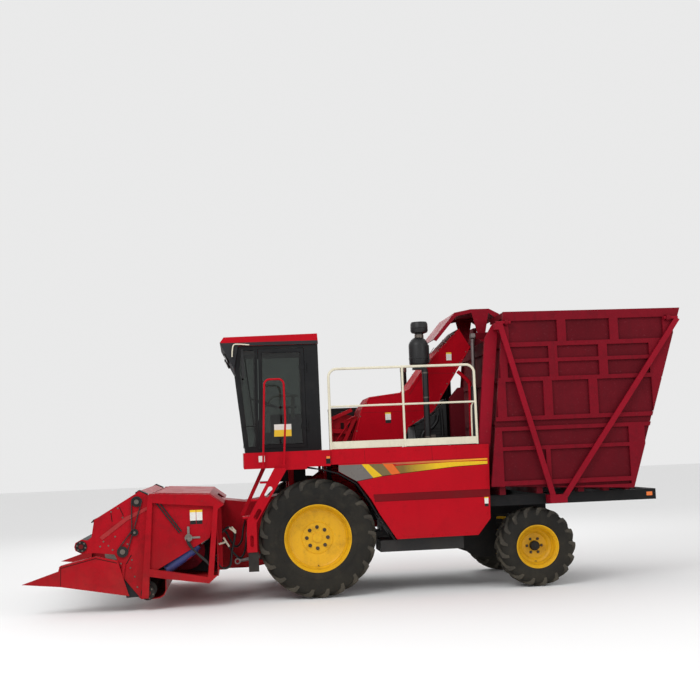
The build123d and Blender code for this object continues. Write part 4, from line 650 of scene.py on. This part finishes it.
# bearing housings: lower hub and nose
HOUSINGS = [(PAN, 0.088, 1.590, "black"), (NOSE, 0.070, 1.590, "black")]
for s, word in ((1, "left"), (-1, "right")):
    fill = [(disc_into, V(at[0], s * y, at[1]), (0, s, 0), r, 0.022, 40) for at, r, y, _ in HOUSINGS]
    piece(f"bearing_flanges_{word}", "black", "header", "black_paint", fill=fill, bevel=0.003)
    piece(f"bearing_caps_{word}", "cap_red", "header", "red_paint", bevel=0.003, fill=[
        (disc_into, V(at[0], s * (y + 0.022), at[1]), (0, s, 0), r * 0.42, 0.014, 32) for at, r, y, _ in HOUSINGS])
    spots = []
    for at, r, y, _ in HOUSINGS:
        for k in range(6):
            a = math.radians(60 * k + 15)
            spots.append(V(at[0] + math.cos(a) * r * 0.76, s * (y + 0.022), at[1] + math.sin(a) * r * 0.76))
    for bx, bz in ((2.747, 0.822), (2.595, 0.773), (2.705, 0.881), (2.645, 0.827), (2.360, 0.638), (2.497, 0.600), (2.330, 0.431),
                   (2.560, 0.936), (2.460, 0.862), (2.410, 0.837), (2.604, 1.245), (2.520, 1.285), (2.462, 1.169), (2.380, 0.540), (2.300, 0.300)):
        spots.append(V(bx, s * 1.590, bz))
    piece(f"cheek_bolts_{word}", "bolt", "header", "bright_steel", fill=hexes(spots, (0, s, 0), 0.0075, 0.006))
    # pale diagonal brace on the cheek
    piece(f"cheek_brace_{word}", "pale_red", "header", "red_paint", bevel=0.003, fill=[
        (prism_into, [(2.752, 0.938), (2.430, 1.172), (2.152, 1.292), (2.136, 1.256), (2.404, 1.128), (2.718, 0.900)], s * 1.5902, s * 1.598)])
    # round cover plate over the drum's shaft on the right
    if s < 0:
        piece("cheek_cover_right", "header_red", "header", "red_paint", bevel=0.002, fill=[(disc_into, V(2.470, s * 1.590, 0.745), (0, s, 0), 0.105, 0.008, 40)])

# slots and dark edge strips of the cheeks, black as painted shade in them; flanges of the dividers, with strips of
# painted shade in the groove under them and a dark nose seam
for s, word in ((1, "left"), (-1, "right")):
    piece(f"cheek_slots_{word}", "shadow", "header", "red_paint", smooth=False, fill=[
        (strip_into, (2.606, 1.230), (2.592, 1.120), 0.010, s * 1.5901, s * 1.5910), (strip_into, (2.500, 1.300), (2.452, 1.190), 0.010, s * 1.5901, s * 1.5910),
        (strip_into, (2.365, 0.700), (2.430, 0.590), 0.012, s * 1.5901, s * 1.5910)])
    piece(f"hood_flap_{word}", "rubber", "header", "step_rubber", bevel=0.002, fill=[
        (strip_into, (2.150, 1.444), (2.254, 1.494), 0.014, s * 1.430, s * 1.590), (strip_into, (2.254, 1.494), (2.300, 1.463), 0.014, s * 1.430, s * 1.590),
        (strip_into, (2.815, 1.158), (2.850, 1.120), 0.012, s * 1.200, s * 1.590)])
    piece(f"divider_flange_{word}", "header_red", "header", "red_paint", bevel=0.002, fill=[
        (strip_into, (2.530, 0.630), (2.800, 0.697), 0.016, s * 1.6450, s * 1.6490), (strip_into, (2.800, 0.697), (3.238, 0.598), 0.016, s * 1.6450, s * 1.6490),
        (strip_into, (3.238, 0.598), (3.245, 0.362), 0.016, s * 1.6450, s * 1.6490)])
    piece(f"divider_seam_and_shade_{word}", "shadow", "header", "red_paint", smooth=False, fill=[
        (strip_into, (2.540, 0.612), (2.800, 0.680), 0.009, s * 1.6451, s * 1.6458), (strip_into, (2.800, 0.680), (3.225, 0.582), 0.009, s * 1.6451, s * 1.6458),
        (strip_into, (3.226, 0.582), (3.232, 0.366), 0.007, s * 1.6451, s * 1.6458)])

# two blank labels on the end sheet
for k, x0 in enumerate((1.626, 1.545)):
    label(f"end_label_{k}", x0 - 0.074, x0, 1.045, 1.222, 1.6001, "header", foot=0.26, head=0.16)

# rotary coupling on the end sheet with its hoses
piece("end_coupling", "steel", "header", "bright_steel", bevel=0.002, fill=[
    (disc_into, V(1.650, 1.600, 0.880), (0, 1, 0), 0.048, 0.030, 32), (disc_into, V(1.650, 1.630, 0.880), (0, 1, 0), 0.026, 0.014, 6),
    (box_into, V(1.635, 1.601, 0.900), V(1.665, 1.615, 1.020)), (box_into, V(1.505, 1.601, 0.868), V(1.640, 1.613, 0.892))])
piece("end_hoses", "hose", "header", None, fill=[
    (tube_into, curve_points([V(1.676, 1.622, 0.860), V(1.640, 1.630, 0.780), V(1.540, 1.632, 0.680), V(1.440, 1.630, 0.590), V(1.385, 1.628, 0.500)]), 0.012),
    (tube_into, curve_points([V(1.650, 1.624, 0.835), V(1.600, 1.632, 0.745), V(1.510, 1.632, 0.640), V(1.420, 1.630, 0.555), V(1.372, 1.628, 0.470)]), 0.012),
    (tube_into, [V(2.046, 1.610, 1.338), V(1.760, 1.610, 0.945)], 0.009),
    (tube_into, [V(2.006, 1.610, 1.340), V(1.735, 1.610, 0.962)], 0.009)])

# blue cylinder along the end frame
piece("blue_cylinder", "blue", "header", "black_paint", bevel=0.002, fill=[
    (lathe_into, V(1.940, 1.500, 0.486), V(1.480, 1.500, 0.809) - V(1.940, 1.500, 0.486), [(0, 0), (0.058, 0.0), (0.066, 0.02), (0.066, 0.44), (0.050, 0.46), (0.050, 0.50), (0, 0.50)], 32)])
# dark inner faces, painted shade: sheets behind the opening of the end sheet and behind the divider's rear edge, where
# only shade is seen
piece("end_inner_shadow", "visor_black_and_shade", "header", "black_paint", smooth=False, fill=[
    (prism_into, [(1.430, 0.400), (1.985, 0.500), (1.400, 0.850)], 1.150, 1.154)])
for s, word in ((1, "left"), (-1, "right")):
    piece(f"divider_mount_shade_{word}", "visor_black_and_shade", "header", "black_paint", smooth=False, fill=[
        (prism_into, [(2.230, 0.180), (2.440, 0.170), (2.560, 0.600), (2.380, 0.640)], s * 1.560, s * 1.566)])
    piece(f"divider_shoe_{word}", "header_red", "header", "red_paint", bevel=0.002, fill=[
        (strip_into, (2.455, 0.600), (2.500, 0.230), 0.030, s * 1.600, s * 1.612)])
piece("blue_cylinder_rod", "rod", "header", "cyl_rod", fill=[
    (lathe_into, V(1.500, 1.500, 0.795), V(1.400, 1.500, 0.866) - V(1.500, 1.500, 0.795), [(0, 0), (0.022, 0), (0.022, 0.10), (0, 0.10)], 24)])

# hoses from the header to the chassis side of the feeder, fixed on the header
piece("feeder_hoses", "hose", "header", None, fill=[
    (tube_into, curve_points([V(1.337, 1.20, 0.594), V(1.256, 1.20, 0.450), V(1.150, 1.20, 0.470), V(1.120, 1.20, 0.640), V(1.075, 1.20, 0.870), V(1.150, 1.18, 0.960), V(1.240, 1.17, 0.900)]), 0.016),
    (tube_into, curve_points([V(1.300, 1.17, 0.848), V(1.180, 1.18, 0.740), V(1.090, 1.18, 0.620), V(1.010, 1.16, 0.560), V(0.950, 1.10, 0.640), V(0.920, 0.90, 0.800), V(0.910, 0.60, 0.900), V(0.900, 0.40, 0.930)]), 0.014),
    (tube_into, curve_points([V(1.290, 1.13, 0.960), V(1.190, 1.12, 0.900), V(1.130, 1.10, 0.780), V(1.060, 1.08, 0.700), V(0.990, 0.96, 0.760), V(0.960, 0.70, 0.900), V(0.930, 0.40, 0.990)]), 0.014)])
piece("hitch_handles", "cream", "header", "bright_steel", bevel=0.002, fill=[
    (tube_into, [V(1.143, 1.215, 0.958), V(1.059, 1.215, 0.884)], 0.013), (tube_into, [V(1.110, 1.215, 0.968), V(1.060, 1.215, 0.905)], 0.011),
    (tube_into, [V(1.222, 1.215, 0.834), V(1.151, 1.215, 0.713)], 0.013), (tube_into, [V(1.200, 1.215, 0.775), V(1.285, 1.215, 0.752)], 0.013)])

piece("bin_rod_pin", "steel", "bin_rod", "cyl_rod", bevel=0.001, fill=[
    (disc_into, V(-2.269, 0.950, 3.370), (1, 0, 0), 0.0215, 0.070, 24), (disc_into, V(-2.203, 0.950, 3.370), (1, 0, 0), 0.030, 0.006, 24)])

# ------------------------------------------------------------------ auger flights and drum fingers
def flight_into(bm, x, z, r0, r1, y0, y1, pitch, hand, thick=0.005):
    turns = (y1 - y0) / pitch
    count = max(8, int(turns * (28)))
    last = None
    for i in range(count + 1):
        t = i / count
        a = hand * 2 * math.pi * turns * t
        c, s = math.cos(a), math.sin(a)
        y = y0 + (y1 - y0) * t
        ring = [bm.verts.new(V(x + c * r, y + dy, z + s * r)) for r, dy in ((r0, thick / 2), (r1, thick / 2), (r1, -thick / 2), (r0, -thick / 2))]
        if last:
            for k in range(4):
                j = (k + 1) % 4
                bm.faces.new((last[k], last[j], ring[j], ring[k]))
        else:
            bm.faces.new(ring[::-1])
        last = ring
    bm.faces.new(last)


bm = bmesh.new()
disc_into(bm, V(1.700, -1.538, 0.700), (0, 1, 0), 0.105, 3.076, 48)
flight_into(bm, 1.700, 0.700, 0.10, 0.244, -1.520, -0.330, 0.30, 1)
flight_into(bm, 1.700, 0.700, 0.10, 0.244, 0.330, 1.520, 0.30, -1)
for k in range(6):
    a = math.radians(60 * k)
    for y in (-0.22, 0.0, 0.22):
        b = a + y * 2
        disc_into(bm, V(1.700 + 0.10 * math.cos(b), y, 0.700 + 0.10 * math.sin(b)), (math.cos(b), 0, math.sin(b)), 0.009, 0.13, 10)
auger = finish_piece("header_auger_flights", bm, "bin", "auger", "bin_paint", origin=V(1.700, 0, 0.700), angle=30)
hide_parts("header_auger")

bm = bmesh.new()
for row in range(6):
    for k in range(30):
        y = -1.48 + k * (2.96 / 29)
        a = math.radians(60 * row + 30)
        b = a + 0.10
        p0, p1 = V(2.470 + 0.11 * math.cos(a), y, 0.745 + 0.11 * math.sin(a)), V(2.470 + 0.335 * math.cos(b), y, 0.745 + 0.335 * math.sin(b))
        disc_into(bm, p0, p1 - p0, 0.006, (p1 - p0).length, 8, 0.0, 0.004)
finish_piece("drum_fingers", bm, "steel", "drum", "bright_steel", origin=V(2.470, 0, 0.745))

# ------------------------------------------------------------------ cab
piece("door_sticker_yellow", "yellow_label", "door", fill=[(prism_into, [(0.500, 2.205), (0.268, 2.205), (0.268, 2.115), (0.505, 2.115)], 0.7041, 0.7052)], smooth=False)
piece("door_sticker_white", "white_label", "door", fill=[(prism_into, [(0.500, 2.280), (0.268, 2.280), (0.268, 2.205), (0.500, 2.205)], 0.7041, 0.7052)], smooth=False)

# inside the cab: pale grab rail and vent face of the console; wiper and bars outside the quarter panes
piece("cab_grab_rail", "cream", "chassis", "rail_paint", fill=[
    (tube_into, curve_points([V(0.552, 0.420, 2.560), V(0.535, 0.420, 2.625), V(0.470, 0.420, 2.672), V(0.300, 0.420, 2.676), V(0.150, 0.420, 2.673)]), 0.016, 12),
    (tube_into, [V(0.222, 0.420, 2.672), V(0.226, 0.420, 2.350)], 0.026, 16)])
piece("console_face", "control", "chassis", "control_plastic", bevel=0.003, fill=[(box_into, V(0.135, 0.4705, 2.010), V(0.345, 0.478, 2.190))])
piece("console_vents", "rubber", "chassis", "black_paint", fill=[(box_into, V(0.160 + 0.045 * k, 0.4781, 2.040), V(0.180 + 0.045 * k, 0.4800, 2.090)) for k in range(4)])
for s, word in ((1, "left"), (-1, "right")):
    piece(f"quarter_bars_{word}", "rubber", "chassis", "black_paint", fill=[
        (tube_into, [V(0.868, s * 0.708, 3.200), V(0.762, s * 0.708, 2.190)], 0.007, 10), (tube_into, [V(0.915, s * 0.708, 2.268), V(0.742, s * 0.708, 2.270)], 0.007, 10)])
    piece(f"mirror_stay_{word}", "cream", "chassis", "rail_paint", fill=[
        (tube_into, curve_points([V(0.800, s * 0.752, 3.369), V(0.940, s * 0.756, 3.382), V(1.010, s * 0.762, 3.372), V(1.030, s * 0.770, 3.300), V(1.036, s * 0.775, 3.210)]), 0.009, 10)])
    # window rubbers
    piece(f"quarter_rubber_{word}", "rubber", "chassis", "black_paint", fill=[
        (tube_into, [V(px, s * 0.701, pz) for px, pz in ((0.750, 1.992), (0.725, 3.298), (0.917, 3.298), (0.949, 3.037), (0.857, 1.992))], 0.007, 8, True)])
piece("door_rubber", "rubber", "door", "black_paint", fill=[
    (tube_into, [V(px, 0.7045, pz) for px, pz in ((0.114, 2.014), (0.114, 3.256), (0.637, 3.256), (0.660, 2.014))], 0.007, 8, True)])
piece("screen_rubber", "rubber", "chassis", "black_paint", fill=[
    (tube_into, [V(1.000, y, z) if z > 2.5 else V(0.893, y, z) for y, z in ((-0.650, 3.096), (0.650, 3.096), (0.650, 1.994), (-0.650, 1.994))], 0.008, 8, True)])
piece("screen_wiper", "rubber", "chassis", "black_paint", fill=[
    (tube_into, [V(0.912, 0.10, 2.010), V(0.995, -0.12, 2.900)], 0.006, 8), (tube_into, [V(0.958, -0.155, 2.520), V(1.006, -0.085, 3.000)], 0.009, 8), (disc_into, V(0.885, 0.10, 2.000), (1, 0, 0), 0.022, 0.035, 20)])

# dark visor under the roof's front edge, with its lamps
piece("visor_skin", "visor_black_and_shade", "chassis", "dark_frame", bevel=0.002, fill=[
    (prism_into, [(1.180, 3.4085), (1.1975, 3.4135), (1.0145, 3.0440), (1.0115, 3.0470)], -0.736, 0.736),
    (prism_into, [(1.178, 3.4060), (1.1965, 3.4145), (1.0130, 3.0450), (0.9560, 3.3600), (0.9600, 3.4060)], 0.7352, 0.7372),
    (prism_into, [(1.178, 3.4060), (1.1965, 3.4145), (1.0130, 3.0450), (0.9560, 3.3600), (0.9600, 3.4060)], -0.7372, -0.7352),
    (prism_into, [(-0.134, 3.3590), (-0.130, 3.4060), (0.960, 3.4060), (0.9560, 3.3600)], 0.7352, 0.7366),
    (prism_into, [(-0.134, 3.3590), (-0.130, 3.4060), (0.960, 3.4060), (0.9560, 3.3600)], -0.7366, -0.7352)])
nose = Vector((1.1975 - 1.0145, 0, 3.4135 - 3.0440)).normalized()
out = Vector((nose.z, 0, -nose.x))
for k, y in enumerate((-0.56, -0.38, 0.38, 0.56)):
    at = V(1.100, y, 3.222) + out * 0.001
    piece(f"visor_lamp_{k}_case", "rubber", "chassis", "black_paint", bevel=0.003, fill=[(lathe_into, at, out, [(0, 0), (0.070, 0.0), (0.070, 0.022), (0.062, 0.030), (0.058, 0.022), (0, 0.022)], 36)])
    piece(f"visor_lamp_{k}_lens", "lens", "chassis", None, fill=[(lathe_into, at + out * 0.0225, out, [(0, 0), (0.057, 0.0), (0.045, 0.006), (0, 0.008)], 36)])

# seat cushions over the CAD seat
def cushion(name, corners, y0, y1, grow):
    bm = bmesh.new()
    prism_into(bm, corners, y0, y1)
    bmesh.ops.recalc_face_normals(bm, faces=bm.faces[:])
    bmesh.ops.triangulate(bm, faces=[f for f in bm.faces if len(f.verts) > 4])
    bmesh.ops.subdivide_edges(bm, edges=bm.edges[:], cuts=3, use_grid_fill=True)
    obj = finish_piece(name, bm, "cloth", "chassis", "seat_cloth")
    sub = obj.modifiers.new("soft", "SUBSURF")
    sub.levels = sub.render_levels = 2
    return obj


cushion("seat_cushion", [(-0.045, 2.180), (0.450, 2.180), (0.450, 2.330), (-0.045, 2.330)], -0.26, 0.26, 0.0)
cushion("seat_backrest", [(-0.045, 2.240), (-0.110, 2.900), (0.030, 2.910), (0.100, 2.240)], -0.25, 0.25, 0.0)

# ------------------------------------------------------------------ floor, light, camera
floor_mesh = bpy.data.meshes.new("floor")
bm = bmesh.new()
bmesh.ops.create_grid(bm, x_segments=1, y_segments=1, size=60)
bm.to_mesh(floor_mesh)
bm.free()
floor = bpy.data.objects.new("floor", floor_mesh)
floor.location = (0, 0, -0.001)
bpy.context.scene.collection.objects.link(floor)
fm = bpy.data.materials.new("floor_pale")
fm.use_nodes = True
fm.node_tree.nodes["Principled BSDF"].inputs["Base Color"].default_value = (0.86, 0.86, 0.86, 1)
fm.node_tree.nodes["Principled BSDF"].inputs["Roughness"].default_value = 0.9
floor_mesh.materials.append(fm)

world = bpy.data.worlds.new("soft")
bpy.context.scene.world = world
world.use_nodes = True
world.node_tree.nodes["Background"].inputs["Color"].default_value = (1.0, 1.0, 1.0, 1)
world.node_tree.nodes["Background"].inputs["Strength"].default_value = 0.82


def area(name, at, aim, size, power):
    data = bpy.data.lights.new(name, "AREA")
    data.size = size
    data.energy = power
    obj = bpy.data.objects.new(name, data)
    bpy.context.scene.collection.objects.link(obj)
    obj.location = at
    obj.rotation_euler = (Vector(aim) - Vector(at)).to_track_quat("-Z", "Y").to_euler()


area("key", (6.0, 10.0, 10.0), (0, 0, 1.5), 6.0, 700)
area("fill", (-8.0, 9.0, 6.0), (-1, 0, 1.5), 7.0, 200)
area("back", (0.0, -10.0, 8.0), (0, 0, 1.5), 7.0, 300)

yaw, pitch, roll = math.radians(5.7), math.radians(4.925), math.radians(-2.341)
look = Vector((-math.sin(yaw) * math.cos(pitch), -math.cos(yaw) * math.cos(pitch), math.sin(pitch)))
right0 = look.cross(Vector((0, 0, 1))).normalized()
up0 = right0.cross(look)
right = math.cos(roll) * right0 + math.sin(roll) * up0
up = -math.sin(roll) * right0 + math.cos(roll) * up0
cam_data = bpy.data.cameras.new("photo")
cam_data.lens = 59.4
cam_data.sensor_width = 36.0
cam_data.clip_end = 200.0
cam_data.dof.use_dof = False
cam = bpy.data.objects.new("photo", cam_data)
bpy.context.scene.collection.objects.link(cam)
cam.matrix_world = Matrix(((right.x, up.x, -look.x, 1.6428), (right.y, up.y, -look.y, 16.4), (right.z, up.z, -look.z, 1.9), (0, 0, 0, 1)))
bpy.context.scene.camera = cam
bpy.context.scene.view_settings.view_transform = "Standard"
